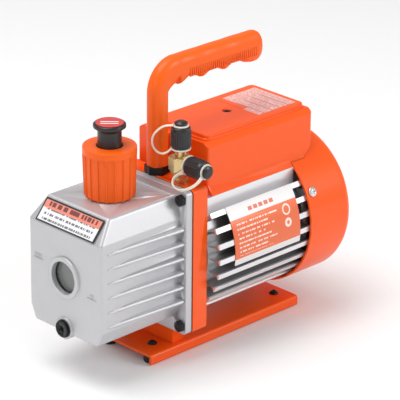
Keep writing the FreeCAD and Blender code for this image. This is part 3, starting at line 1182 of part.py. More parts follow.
def box_lid():
    """Lid of the wiring box, with the recessed hole of its one screw."""
    lid = box(LID_FRONT_X, LID_BACK_X, -LID_HALF_W, LID_HALF_W, BOX_TOP_Z, LID_TOP_Z)
    lid = lid.makeFillet(LID_CORNER_R, [e for e in lid.Edges if e.BoundBox.ZLength > LID_T - 0.1])
    lid = lid.makeFillet(1.0, [e for e in lid.Edges if e.BoundBox.ZMin > LID_TOP_Z - 0.01])
    hollow = box(LID_FRONT_X + 2, LID_BACK_X - 2, -LID_HALF_W + 2, LID_HALF_W - 2, BOX_TOP_Z - 1, LID_TOP_Z - LID_SKIN_T)
    pad = z_rod(LID_RECESS_R + 2, LID_SCREW_X, 0, BOX_TOP_Z, LID_TOP_Z)
    hollow = hollow.cut(pad)
    tools = [hollow, z_rod(LID_RECESS_R, LID_SCREW_X, 0, LID_SCREW_BED_Z, LID_TOP_Z + 1),
             z_rod(LID_SCREW_R + 0.2, LID_SCREW_X, 0, BOX_TOP_Z - 1, LID_TOP_Z + 1)]
    return cut_all(lid, tools)


def lid_screw():
    """Screw in the lid's recess, down into the capacitor clamp."""
    top = LID_SCREW_BED_Z + 1.8
    stem = z_rod(LID_SCREW_R - FIT_GAP, LID_SCREW_X, 0, BOX_TOP_Z - 5, LID_SCREW_BED_Z + 0.2)
    head = z_rod(LID_SCREW_HEAD_R, LID_SCREW_X, 0, LID_SCREW_BED_Z, top)
    cross = box(LID_SCREW_X - 1.8, LID_SCREW_X + 1.8, -0.4, 0.4, top - 1, top + 1).fuse(
        box(LID_SCREW_X - 0.4, LID_SCREW_X + 0.4, -1.8, 1.8, top - 1, top + 1))
    return stem.fuse(head).cut(cross).removeSplitter()


def capacitor():
    """Run capacitor lying along the motor, with its two terminals."""
    can = x_rod(CAPACITOR_R, CAPACITOR_X, CAPACITOR_X + CAPACITOR_L, 0, CAPACITOR_Z)
    can = can.makeFillet(1.2, can.Edges[:1] + can.Edges[2:])
    tabs = [box(CAPACITOR_X - 7, CAPACITOR_X + 1, y - 3, y + 3, CAPACITOR_Z - 0.4, CAPACITOR_Z + 0.4) for y in (-6, 6)]
    return fuse([can] + tabs)


def capacitor_clamp():
    """Saddle strap that holds the capacitor down on the housing, with the boss for the lid's screw."""
    x0, x1 = LID_SCREW_X - CLAMP_W / 2, LID_SCREW_X + CLAMP_W / 2
    outer_r = CAPACITOR_R + CLAMP_T
    band = x_tube(CAPACITOR_R + 0.1, outer_r, x0, x1, 0, CAPACITOR_Z)
    leg_z = SEAT_Z
    legs = [box(x0, x1, min(y, y + side * CLAMP_T), max(y, y + side * CLAMP_T), leg_z, CAPACITOR_Z)
            for side, y in ((-1, -CAPACITOR_R - 0.1), (1, CAPACITOR_R + 0.1))]
    below = box(x0 - 1, x1 + 1, -CAPACITOR_R - 0.1, CAPACITOR_R + 0.1, leg_z - 9, CAPACITOR_Z)
    feet = [box(x0, x1, min(side * outer_r, side * (outer_r + 7)), max(side * outer_r, side * (outer_r + 7)), leg_z,
                leg_z + CLAMP_T) for side in (-1, 1)]
    boss = z_rod(4.0, LID_SCREW_X, 0, CAPACITOR_Z + CAPACITOR_R + 0.1, BOX_TOP_Z - 0.2)
    boss = boss.cut(x_rod(CAPACITOR_R + 0.1, x0 - 1, x1 + 1, 0, CAPACITOR_Z))
    strap = fuse([band.cut(below)] + legs + feet)
    shape = strap.cut(x_rod(HOUSING_R + 0.02, x0 - 1, x1 + 1))
    shape = fuse([shape, boss]) if boss.Volume > 1 else shape
    return shape.cut(z_rod(LID_SCREW_R, LID_SCREW_X, 0, CAPACITOR_Z + CAPACITOR_R + 0.2, BOX_TOP_Z + 1))


def terminal_block():
    """Terminal strip beside the rear panel, on the fan cover side of the housing."""
    x0 = CAPACITOR_X + CAPACITOR_L + 2
    z0 = SHAFT_Z + HOUSING_R + 0.2
    block = box(x0, x0 + TERMINAL_L, -TERMINAL_W / 2, TERMINAL_W / 2, z0, z0 + TERMINAL_H)
    screws = [z_rod(1.6, x0 + TERMINAL_L / 2, y, z0 + TERMINAL_H - 3, z0 + TERMINAL_H + 1) for y in (-9, -3, 3, 9)]
    return cut_all(block, screws)


def power_inlet():
    """Appliance inlet in the rear panel, with three pins in its well."""
    x = BOX_BACK_X
    plate = box(x, x + INLET_PLATE_T, INLET_Y - INLET_PLATE_W / 2, INLET_Y + INLET_PLATE_W / 2,
                INLET_Z - INLET_PLATE_H / 2, INLET_Z + INLET_PLATE_H / 2)
    body = box(x - INLET_DEPTH, x + 0.5, INLET_Y - INLET_BODY_W / 2, INLET_Y + INLET_BODY_W / 2,
               INLET_Z - INLET_BODY_H / 2, INLET_Z + INLET_BODY_H / 2)
    mouth = x + INLET_PLATE_T
    well = box(mouth - INLET_WELL_DEPTH, mouth + 1, INLET_Y - INLET_WELL_W / 2, INLET_Y + INLET_WELL_W / 2,
               INLET_Z - INLET_WELL_H / 2, INLET_Z + INLET_WELL_H / 2)
    pins = []
    for y, z in ((0, 2.0), (-7, -1.0), (7, -1.0)):
        pins.append(box(mouth - INLET_WELL_DEPTH - 1, mouth - INLET_WELL_DEPTH + PIN_L, INLET_Y + y - PIN_W / 2,
                        INLET_Y + y + PIN_W / 2, INLET_Z + z - PIN_H / 2 + 2, INLET_Z + z + PIN_H / 2 + 2))
    return fuse([plate.fuse(body).cut(well)] + pins)


def rocker_switch():
    """Frame of the rocker switch, and its rocker, tipped to the off side."""
    x = BOX_BACK_X
    plate = box(x, x + SWITCH_PLATE_T, SWITCH_Y - SWITCH_PLATE_W / 2, SWITCH_Y + SWITCH_PLATE_W / 2,
                INLET_Z - SWITCH_PLATE_H / 2, INLET_Z + SWITCH_PLATE_H / 2)
    body = box(x - SWITCH_DEPTH, x + 0.5, SWITCH_Y - SWITCH_BODY_W / 2, SWITCH_Y + SWITCH_BODY_W / 2,
               INLET_Z - SWITCH_BODY_H / 2, INLET_Z + SWITCH_BODY_H / 2)
    well = box(x - 6, x + SWITCH_PLATE_T + 1, SWITCH_Y - ROCKER_W / 2 - RUN_GAP, SWITCH_Y + ROCKER_W / 2 + RUN_GAP,
               INLET_Z - ROCKER_H / 2 - 1.2, INLET_Z + ROCKER_H / 2 + 1.2)
    pivot_x = x - 0.5
    bar = rod(1.2 - FIT_GAP, Vec(pivot_x, SWITCH_Y - ROCKER_W / 2 - RUN_GAP - 0.6, INLET_Z), ROCKER_W + 2 * RUN_GAP + 1.2, Y_AXIS)
    frame = plate.fuse(body).cut(well).fuse(bar).removeSplitter()
    half = ROCKER_H / 2
    profile = [(pivot_x - 2.6, INLET_Z), (pivot_x + 0.6, INLET_Z - half), (x + SWITCH_PLATE_T + ROCKER_PROUD, INLET_Z - half),
               (x + SWITCH_PLATE_T + 0.9, INLET_Z), (x + SWITCH_PLATE_T + ROCKER_PROUD, INLET_Z + half), (pivot_x + 0.6, INLET_Z + half)]
    rocker = xz_prism(profile, SWITCH_Y - ROCKER_W / 2, SWITCH_Y + ROCKER_W / 2)
    rocker = rocker.cut(rod(1.2, Vec(pivot_x, SWITCH_Y - 9, INLET_Z), 18, Y_AXIS))
    rocker.rotate(Vec(pivot_x, SWITCH_Y, INLET_Z), Y_AXIS, -ROCKER_TILT)
    return frame, rocker


# Handle --------------------------------------------------------------------------------------------------------------
def groove_curve(x0, x1):
    """Points of the grip's underside between two X values, a row of finger grooves."""
    points = []
    steps = 12 * GROOVE_COUNT
    for k in range(steps + 1):
        x = x0 + (x1 - x0) * k / steps
        wave = 0.5 - 0.5 * math.cos(2 * math.pi * (x - x0) / GROOVE_PITCH)
        points.append(Vec(x, 0, GRIP_BOTTOM_Z - GROOVE_DEPTH + GROOVE_DEPTH * wave))
    return points


def handle():
    """Cantilever carrying handle: a post, a bend and a grip with finger grooves that ends in a hook."""
    back, front = POST_X + POST_D / 2, POST_X - POST_D / 2
    top = GRIP_TOP_Z
    groove_x0 = POST_X + GROOVE_START
    groove_x1 = groove_x0 + GROOVE_COUNT * GROOVE_PITCH
    end = POST_X + GRIP_END
    crest_z = GRIP_BOTTOM_Z - GROOVE_DEPTH
    grooves = Part.BSplineCurve()
    points = groove_curve(groove_x0, groove_x1)
    grooves.interpolate(points)
    hook_z = crest_z - GRIP_HOOK_DROP
    bend = GRIP_BEND_R
    inner = GRIP_INNER_R
    arc_mid = math.sqrt(0.5)
    hook_cut = HOOK_R * (1 - arc_mid)
    edges = [
        Part.LineSegment(Vec(front, 0, POST_FOOT_Z), Vec(front, 0, top - bend)),
        Part.Arc(Vec(front, 0, top - bend), Vec(front + bend * (1 - arc_mid), 0, top - bend * (1 - arc_mid)),
                 Vec(front + bend, 0, top)),
        Part.LineSegment(Vec(front + bend, 0, top), Vec(end - 10, 0, top)),
        Part.Arc(Vec(end - 10, 0, top), Vec(end - 10 * (1 - arc_mid), 0, top - 10 * (1 - arc_mid)), Vec(end, 0, top - 10)),
        Part.LineSegment(Vec(end, 0, top - 10), Vec(end, 0, hook_z + HOOK_R)),
        Part.Arc(Vec(end, 0, hook_z + HOOK_R), Vec(end - hook_cut, 0, hook_z + hook_cut), Vec(end - HOOK_R, 0, hook_z)),
        Part.LineSegment(Vec(end - HOOK_R, 0, hook_z), Vec(points[-1].x + HOOK_RAMP, 0, hook_z)),
        Part.LineSegment(Vec(points[-1].x + HOOK_RAMP, 0, hook_z), points[-1]),
        grooves,
        Part.LineSegment(points[0], Vec(back + inner, 0, crest_z)),
        Part.Arc(Vec(back + inner, 0, crest_z), Vec(back + inner * (1 - arc_mid), 0, crest_z - inner * (1 - arc_mid)),
                 Vec(back, 0, crest_z - inner)),
        Part.LineSegment(Vec(back, 0, crest_z - inner), Vec(back, 0, POST_FOOT_Z)),
        Part.LineSegment(Vec(back, 0, POST_FOOT_Z), Vec(front, 0, POST_FOOT_Z)),
    ]
    wire = Part.Wire(Part.__sortEdges__([e.toShape() for e in edges]))
    blank = Part.Face(wire).extrude(Vec(0, HANDLE_W, 0))
    blank.translate(Vec(0, -HANDLE_W / 2, 0))
    top_line = [e for e in blank.Edges if e.BoundBox.YLength < 0.01 and outer_side(e)]
    blank = blank.makeFillet(HANDLE_EDGE_R, top_line)
    return blank.cut(z_rod(STUD_R, POST_X, 0, POST_FOOT_Z - 1, POST_FOOT_Z + STUD_IN_HANDLE))


def outer_side(edge):
    """Whether an edge of the handle's blank runs along its outer side: up the front, round the bend, along the top."""
    box_of = edge.BoundBox
    upright = abs(box_of.XMin - (POST_X - POST_D / 2)) < 0.01 and box_of.ZLength > 20
    along_top = box_of.ZMax > GRIP_TOP_Z - 0.01
    return upright or along_top


def handle_stud():
    """Stud between the handle and the bracket."""
    return z_rod(STUD_R - SEAT_GAP, POST_X, 0, BRACKET_TOP_Z - STUD_IN_BRACKET + 0.5, POST_FOOT_Z + STUD_IN_HANDLE - 1)


def handle_nut():
    """Lock nut under the handle's post."""
    nut = hexagon(NUT_AF, Vec(POST_X, 0, BRACKET_TOP_Z), NUT_H, Z_AXIS, 10)
    return nut.cut(z_rod(STUD_R + FIT_GAP, POST_X, 0, BRACKET_TOP_Z - 1, POST_FOOT_Z + 1))


# Base ----------------------------------------------------------------------------------------------------------------
def base_plate():
    """Folded base channel with countersunk rests for the foot screws."""
    x0, x1 = BASE_FRONT_X, BASE_FRONT_X + BASE_L
    outer = box(x0, x1, -BASE_HALF_W, BASE_HALF_W, BASE_LIP_Z, BASE_H)
    bends = [e for e in outer.Edges if e.BoundBox.XLength > 50 and e.BoundBox.ZMin > BASE_H - 0.01]
    outer = outer.makeFillet(BASE_BEND_R, bends)
    inner = box(x0 - 1, x1 + 1, -BASE_HALF_W + BASE_T, BASE_HALF_W - BASE_T, BASE_LIP_Z - 1, BASE_H - BASE_T)
    holes = [z_rod(FOOT_SCREW_R + 0.2, x, y, 0, BASE_H + 1) for x, y in FOOT_SCREW_PLACES]
    holes += [z_rod(BRACKET_SCREW_R + 0.2, BRACKET_MID_X, y, 0, BASE_H + 1) for y in (-BRACKET_SCREW_Y, BRACKET_SCREW_Y)]
    return cut_all(outer, [inner] + holes)


def rubber_feet():
    """Four rubber feet under the base's corners, each with a flat ear that its screw goes through."""
    top = BASE_H - BASE_T
    ear_z = top - FOOT_EAR_T
    feet = []
    for (foot_x, foot_y), (screw_x, screw_y) in zip(FOOT_PLACES, FOOT_SCREW_PLACES):
        pad = turned([(0, FOOT_R - 0.5), (0.8, FOOT_R), (top, FOOT_R)], Vec(foot_x, foot_y, 0), Z_AXIS)
        reach = Vec(screw_x - foot_x, screw_y - foot_y, 0)
        bar = box(0, reach.Length, -FOOT_R, FOOT_R, ear_z, top)
        bar.rotate(Vec(0, 0, 0), Z_AXIS, math.degrees(math.atan2(reach.y, reach.x)))
        bar.translate(Vec(foot_x, foot_y, 0))
        ear = z_rod(FOOT_EAR_R, screw_x, screw_y, ear_z, top)
        feet.append(fuse([pad, bar, ear]).cut(z_rod(FOOT_SCREW_R + 0.1, screw_x, screw_y, -1, top + 1)))
    return feet


def foot_screws():
    """Screws and nuts of the feet: the domed head shows on top of the base, the nut holds the foot's ear."""
    screws = []
    nut_top = BASE_H - BASE_T - FOOT_EAR_T
    for x, y in FOOT_SCREW_PLACES:
        head = turned([(0, FOOT_SCREW_HEAD_R), (FOOT_SCREW_HEAD_H * 0.45, FOOT_SCREW_HEAD_R * 0.9),
                       (FOOT_SCREW_HEAD_H, FOOT_SCREW_HEAD_R * 0.45)], Vec(x, y, BASE_H), Z_AXIS)
        stem = z_rod(FOOT_SCREW_R, x, y, nut_top - FOOT_NUT_H - 0.4, BASE_H + 0.5)
        nut = hexagon(FOOT_NUT_AF, Vec(x, y, nut_top - FOOT_NUT_H), FOOT_NUT_H, Z_AXIS)
        socket = hexagon(2.4, Vec(x, y, BASE_H + FOOT_SCREW_HEAD_H - 1.2), 3, Z_AXIS)
        screws.append(fuse([head, stem, nut]).cut(socket))
    return screws


# Build ---------------------------------------------------------------------------------------------------------------
def build():
    """Writes every node."""
    os.makedirs("parts", exist_ok=True)
    save("oil_casing", oil_casing())
    save("casing_gasket", casing_gasket())
    save("casing_bolts", *casing_bolts())
    lens, glass_ring = sight_glass()
    save("sight_glass_lens", lens)
    save("sight_glass_ring", glass_ring)
    plug, washer = drain_plug()
    save("drain_plug", plug)
    save("drain_washer", washer)
    save("exhaust_cap", exhaust_cap())
    save("exhaust_filter", exhaust_filter())
    stopper, badge = exhaust_stopper()
    save("exhaust_stopper", stopper)
    save("stopper_badge", badge)
    save("pump_bracket", pump_bracket())
    save("bracket_screws", *bracket_screws())
    save("shaft_seal", shaft_seal())
    save("pump_stator", pump_stator())
    save("pump_front_plate", pump_front_plate())
    save("pump_back_plate", pump_back_plate())
    save("pump_bolts", *pump_bolts())
    save("pump_rotor", pump_rotor())
    save("vane_left", vane(1))
    save("vane_right", vane(-1))
    save("vane_springs", *vane_springs())
    reed, reed_root, reed_stop, reed_screw = exhaust_valve()
    save("exhaust_reed", reed)
    save("reed_stop", reed_root, reed_stop)
    save("reed_screw", reed_screw)
    save("intake_fitting", intake_fitting())
    save("intake_screen", intake_screen())
    top_neck = Vec(FITTING_X, FITTING_Y, TOP_NECK_Z + FITTING_NECK_L)
    side_neck = Vec(FITTING_X, FITTING_Y, BRANCH_Z) + BRANCH_AXIS * (BRANCH_NECK_START + BRANCH_NECK_L)
    loop_angle, drop = math.radians(TOP_LOOP_ANGLE), math.radians(SIDE_LOOP_DROP)
    side_level = BRANCH_AXIS.cross(Z_AXIS)
    save("top_flare_cap", flare_cap(top_neck, Z_AXIS))
    save("side_flare_cap", flare_cap(side_neck, BRANCH_AXIS))
    save("top_tether", tether(top_neck, Z_AXIS, Vec(math.cos(loop_angle), math.sin(loop_angle), 0)))
    save("side_tether", tether(side_neck, BRANCH_AXIS, side_level * math.cos(drop) - Z_AXIS * math.sin(drop)))
    save("motor_housing", motor_housing())
    save("nameplate", nameplate())
    save("stator_core", stator_core())
    save("stator_windings", stator_windings())
    save("motor_rotor", motor_rotor())
    save("motor_shaft", motor_shaft())
    outers, inners, balls = bearings()
    save("bearing_outer_rings", *outers)
    save("bearing_inner_rings", *inners)
    save("bearing_balls", *balls)
    save("rear_end_bell", rear_end_bell())
    save("tie_bolts", *tie_bolts())
    save("fan", fan())
    save("fan_cover", fan_cover())
    save("fan_cover_screws", *fan_cover_screws())
    save("capacitor_box", capacitor_box())
    save("box_lid", box_lid())
    save("lid_screw", lid_screw())
    save("capacitor", capacitor())
    save("capacitor_clamp", capacitor_clamp())
    save("terminal_block", terminal_block())
    save("power_inlet", power_inlet())
    switch_frame, rocker = rocker_switch()
    save("switch_frame", switch_frame)
    save("switch_rocker", rocker)
    save("handle", handle())
    save("handle_stud", handle_stud())
    save("handle_nut", handle_nut())
    save("base_plate", base_plate())
    save("rubber_feet", *rubber_feet())
    save("foot_screws", *foot_screws())


build()
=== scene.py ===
"""Looks of a rotary vane vacuum pump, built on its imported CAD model.

Every size is in metres in the row frame: +X towards the fan, -Y the nameplate side, +Z up, floor at z = 0.
"""

import json
import logging
import math
from dataclasses import dataclass, field
from enum import Enum

import bmesh
import bpy
from mathutils import Matrix, Vector

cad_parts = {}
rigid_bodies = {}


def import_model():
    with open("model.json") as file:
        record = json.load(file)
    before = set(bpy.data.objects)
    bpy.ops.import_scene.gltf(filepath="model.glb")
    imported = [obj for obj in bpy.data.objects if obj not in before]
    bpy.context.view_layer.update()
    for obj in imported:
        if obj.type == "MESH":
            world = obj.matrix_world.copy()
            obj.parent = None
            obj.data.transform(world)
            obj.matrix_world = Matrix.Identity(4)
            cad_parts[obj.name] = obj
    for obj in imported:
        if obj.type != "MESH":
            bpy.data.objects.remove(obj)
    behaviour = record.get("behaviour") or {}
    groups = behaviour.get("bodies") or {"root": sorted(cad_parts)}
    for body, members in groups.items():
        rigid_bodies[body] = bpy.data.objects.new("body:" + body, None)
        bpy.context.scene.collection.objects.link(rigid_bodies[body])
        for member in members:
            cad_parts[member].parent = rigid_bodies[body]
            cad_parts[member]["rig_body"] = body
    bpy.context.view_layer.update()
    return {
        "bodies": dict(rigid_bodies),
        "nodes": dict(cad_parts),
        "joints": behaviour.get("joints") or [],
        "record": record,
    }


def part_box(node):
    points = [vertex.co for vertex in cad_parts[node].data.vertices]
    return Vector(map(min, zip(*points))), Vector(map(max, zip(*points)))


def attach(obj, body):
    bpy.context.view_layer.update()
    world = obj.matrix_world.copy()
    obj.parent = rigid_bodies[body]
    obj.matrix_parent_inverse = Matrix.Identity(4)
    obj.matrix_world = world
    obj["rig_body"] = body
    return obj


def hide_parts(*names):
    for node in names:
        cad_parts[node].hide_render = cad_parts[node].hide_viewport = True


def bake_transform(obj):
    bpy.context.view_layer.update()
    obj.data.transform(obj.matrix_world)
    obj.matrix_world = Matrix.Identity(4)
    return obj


LOG = logging.getLogger("pump")
MM = 0.001
Socket = bpy.types.NodeSocket
Colour = tuple[float, float, float, float]
Face = tuple[int, ...]
Skin = tuple[list[Vector], list[Face]]
ROW_STRIDE = 7.31  # how far apart two rows of print lie in the noise


class Body(str, Enum):
    """CAD bodies that finished pieces ride on."""

    PUMP = "pump"
    CAP = "cap_body"
    TOP_LIFT = "top_cap_lift"
    SIDE_LIFT = "side_cap_lift"


# Finishes -----------------------------------------------------------------------------------------
@dataclass(frozen=True)
class Finish:
    """One plain procedural finish, as the shader's own constants.

    Args:
        name: the material's name.
        colour: linear base colour.
        metallic: 0 for paint and plastic, towards 1 for bare metal.
        roughness: mean roughness.
        coat: weight of the clear coat.
        grain_scale: scale of the fine noise.
        grain: depth of its relief, in metres.
        edge: radius that hard edges are softened by, in metres.
        mottle: how far the colour wanders.
        transmission: towards 1 for clear glass.
        specular: strength of the plain reflection.
    """

    name: str
    colour: Colour
    metallic: float = 0.0
    roughness: float = 0.5
    coat: float = 0.0
    grain_scale: float = 900.0
    grain: float = 0.0
    edge: float = 0.0005
    mottle: float = 0.03
    transmission: float = 0.0
    specular: float = 0.5


ORANGE_PAINT = Finish("orange_paint", (0.94, 0.098, 0.003, 1), 0.0, 0.34, 0.16, 700, 0.00001, 0.0008,
                      specular=0.30)
ORANGE_PLASTIC = Finish("orange_plastic", (0.92, 0.120, 0.003, 1), 0.0, 0.40, 0.08, 1400, 0.00001, 0.0007,
                        specular=0.28)
CAST = Finish("sand_cast_silver", (0.56, 0.56, 0.58, 1), 0.55, 0.40, 0.0, 1500, 0.00006, 0.0012, 0.08)
EXTRUSION = Finish("drawn_aluminium", (0.80, 0.81, 0.83, 1), 0.70, 0.30, 0.0, 400, 0.00001, 0.0003, 0.03)
BLACK_OXIDE = Finish("black_oxide", (0.012, 0.012, 0.014, 1), 0.5, 0.33, 0.0, 900, 0.00002, 0.0004, 0.1)
BLACK_PLASTIC = Finish("black_plastic", (0.010, 0.010, 0.012, 1), 0.0, 0.34, 0.1, 1200, 0.00001, 0.0004, 0.05)
RUBBER = Finish("rubber", (0.012, 0.012, 0.012, 1), 0.0, 0.7, 0.0, 1500, 0.00003, 0.0006, 0.1)
BRASS = Finish("brass", (0.66, 0.50, 0.24, 1), 0.85, 0.26, 0.0, 700, 0.00001, 0.0004, 0.06)
ZINC = Finish("zinc", (0.72, 0.71, 0.68, 1), 0.9, 0.28, 0.0, 900, 0.00001, 0.0003, 0.05)
STEEL = Finish("steel", (0.45, 0.45, 0.46, 1), 0.9, 0.35, 0.0, 900, 0.00001, 0.0003, 0.05)
IRON = Finish("ground_iron", (0.22, 0.22, 0.23, 1), 0.8, 0.45, 0.0, 900, 0.00003, 0.0003, 0.1)
COPPER = Finish("varnished_copper", (0.36, 0.10, 0.03, 1), 0.5, 0.4, 0.2, 2500, 0.0001, 0.0005, 0.15)
RESIN = Finish("vane_resin", (0.06, 0.035, 0.02, 1), 0.0, 0.5, 0.0, 900, 0.00002, 0.0002, 0.1)
FELT = Finish("felt", (0.6, 0.58, 0.5, 1), 0.0, 0.95, 0.0, 3000, 0.0002, 0.0005, 0.1)
STRAP = Finish("white_strap", (0.80, 0.73, 0.63, 1), 0.0, 0.4, 0.1, 900, 0.00001, 0.0003, 0.03)
IVORY = Finish("ivory_plastic", (0.75, 0.72, 0.62, 1), 0.0, 0.45, 0.1, 900, 0.00001, 0.0004, 0.03)
RED = Finish("red_plastic", (0.5, 0.01, 0.008, 1), 0.0, 0.35, 0.2, 900, 0.00001, 0.0005, 0.03)
GLASS = Finish("sight_glass", (0.85, 0.90, 0.86, 1), 0.0, 0.05, 0.0, 900, 0.0, 0.0003, 0.0, 0.85)

CARRIED: dict[Finish, tuple[str, ...]] = {
    ORANGE_PAINT: ("pump_bracket", "fan_cover", "base_plate", "capacitor_box", "box_lid"),
    CAST: ("oil_casing", "rear_end_bell"),
    BLACK_OXIDE: ("casing_bolts", "drain_plug", "pump_bolts", "lid_screw", "handle_nut", "foot_screws"),
    BLACK_PLASTIC: ("exhaust_stopper", "top_flare_cap", "side_flare_cap", "fan", "power_inlet",
                    "switch_frame"),
    RUBBER: ("casing_gasket", "drain_washer", "shaft_seal", "rubber_feet"),
    BRASS: ("intake_fitting", "intake_screen"),
    ZINC: ("bracket_screws", "reed_screw", "tie_bolts", "fan_cover_screws", "capacitor_clamp"),
    STEEL: ("pump_rotor", "vane_springs", "exhaust_reed", "reed_stop", "motor_shaft", "bearing_outer_rings",
            "bearing_inner_rings", "bearing_balls", "handle_stud"),
    IRON: ("pump_stator", "pump_front_plate", "pump_back_plate", "stator_core", "motor_rotor"),
    COPPER: ("stator_windings",),
    RESIN: ("vane_left", "vane_right"),
    FELT: ("exhaust_filter",),
    IVORY: ("capacitor", "terminal_block"),
    RED: ("switch_rocker",),
    GLASS: ("sight_glass_lens",),
}


class Nodes:
    """A small wrapper that adds and links shader nodes in one tree."""

    def __init__(self, tree: bpy.types.NodeTree) -> None:
        """Args: tree, the node tree to fill."""
        self.tree = tree

    def add(self, kind: str, **values: object) -> bpy.types.Node:
        """Adds a node.

        Args:
            kind: the node's type name.
            values: attributes by name; those that are not attributes are set on the input socket of that
                name, with underscores for spaces. A socket given as a value is linked.

        Returns:
            The node.
        """
        node = self.tree.nodes.new(kind)
        for key, value in values.items():
            if hasattr(node, key):
                setattr(node, key, value)
                continue
            self.feed(node.inputs[key.replace("_", " ")], value)
        return node

    def feed(self, socket: Socket, value: object) -> None:
        """Links a socket, or sets it to a constant.

        Args:
            socket: the input to feed.
            value: another socket, or the constant.
        """
        if isinstance(value, bpy.types.NodeSocket):
            self.tree.links.new(value, socket)
        else:
            socket.default_value = value

    def math(self, operation: str, *operands: object) -> Socket:
        """Adds one maths node and returns its output.

        Args:
            operation: the node's operation.
            operands: sockets or constants, in order.

        Returns:
            The node's output.
        """
        node = self.tree.nodes.new("ShaderNodeMath")
        node.operation = operation
        for socket, value in zip(node.inputs, operands):
            self.feed(socket, value)
        return node.outputs[0]

    def mix(self, factor: object, a: object, b: object) -> Socket:
        """Mixes two colours and returns the result.

        Args:
            factor: 0 for a, 1 for b.
            a: first colour.
            b: second colour.

        Returns:
            The mixed colour.
        """
        node = self.tree.nodes.new("ShaderNodeMix")
        node.data_type = "RGBA"
        self.feed(node.inputs[0], factor)
        self.feed(node.inputs[6], a)
        self.feed(node.inputs[7], b)
        return node.outputs[2]

    def band(self, value: Socket, low: float, high: float) -> Socket:
        """1 where value lies between low and high, else 0."""
        above = self.math("GREATER_THAN", value, low)
        return self.math("MULTIPLY", above, self.math("LESS_THAN", value, high))

    def distance(self, a: Socket, b: Socket) -> Socket:
        """Length of the flat offset (a, b)."""
        squares = self.math("ADD", self.math("MULTIPLY", a, a), self.math("MULTIPLY", b, b))
        return self.math("SQRT", squares)


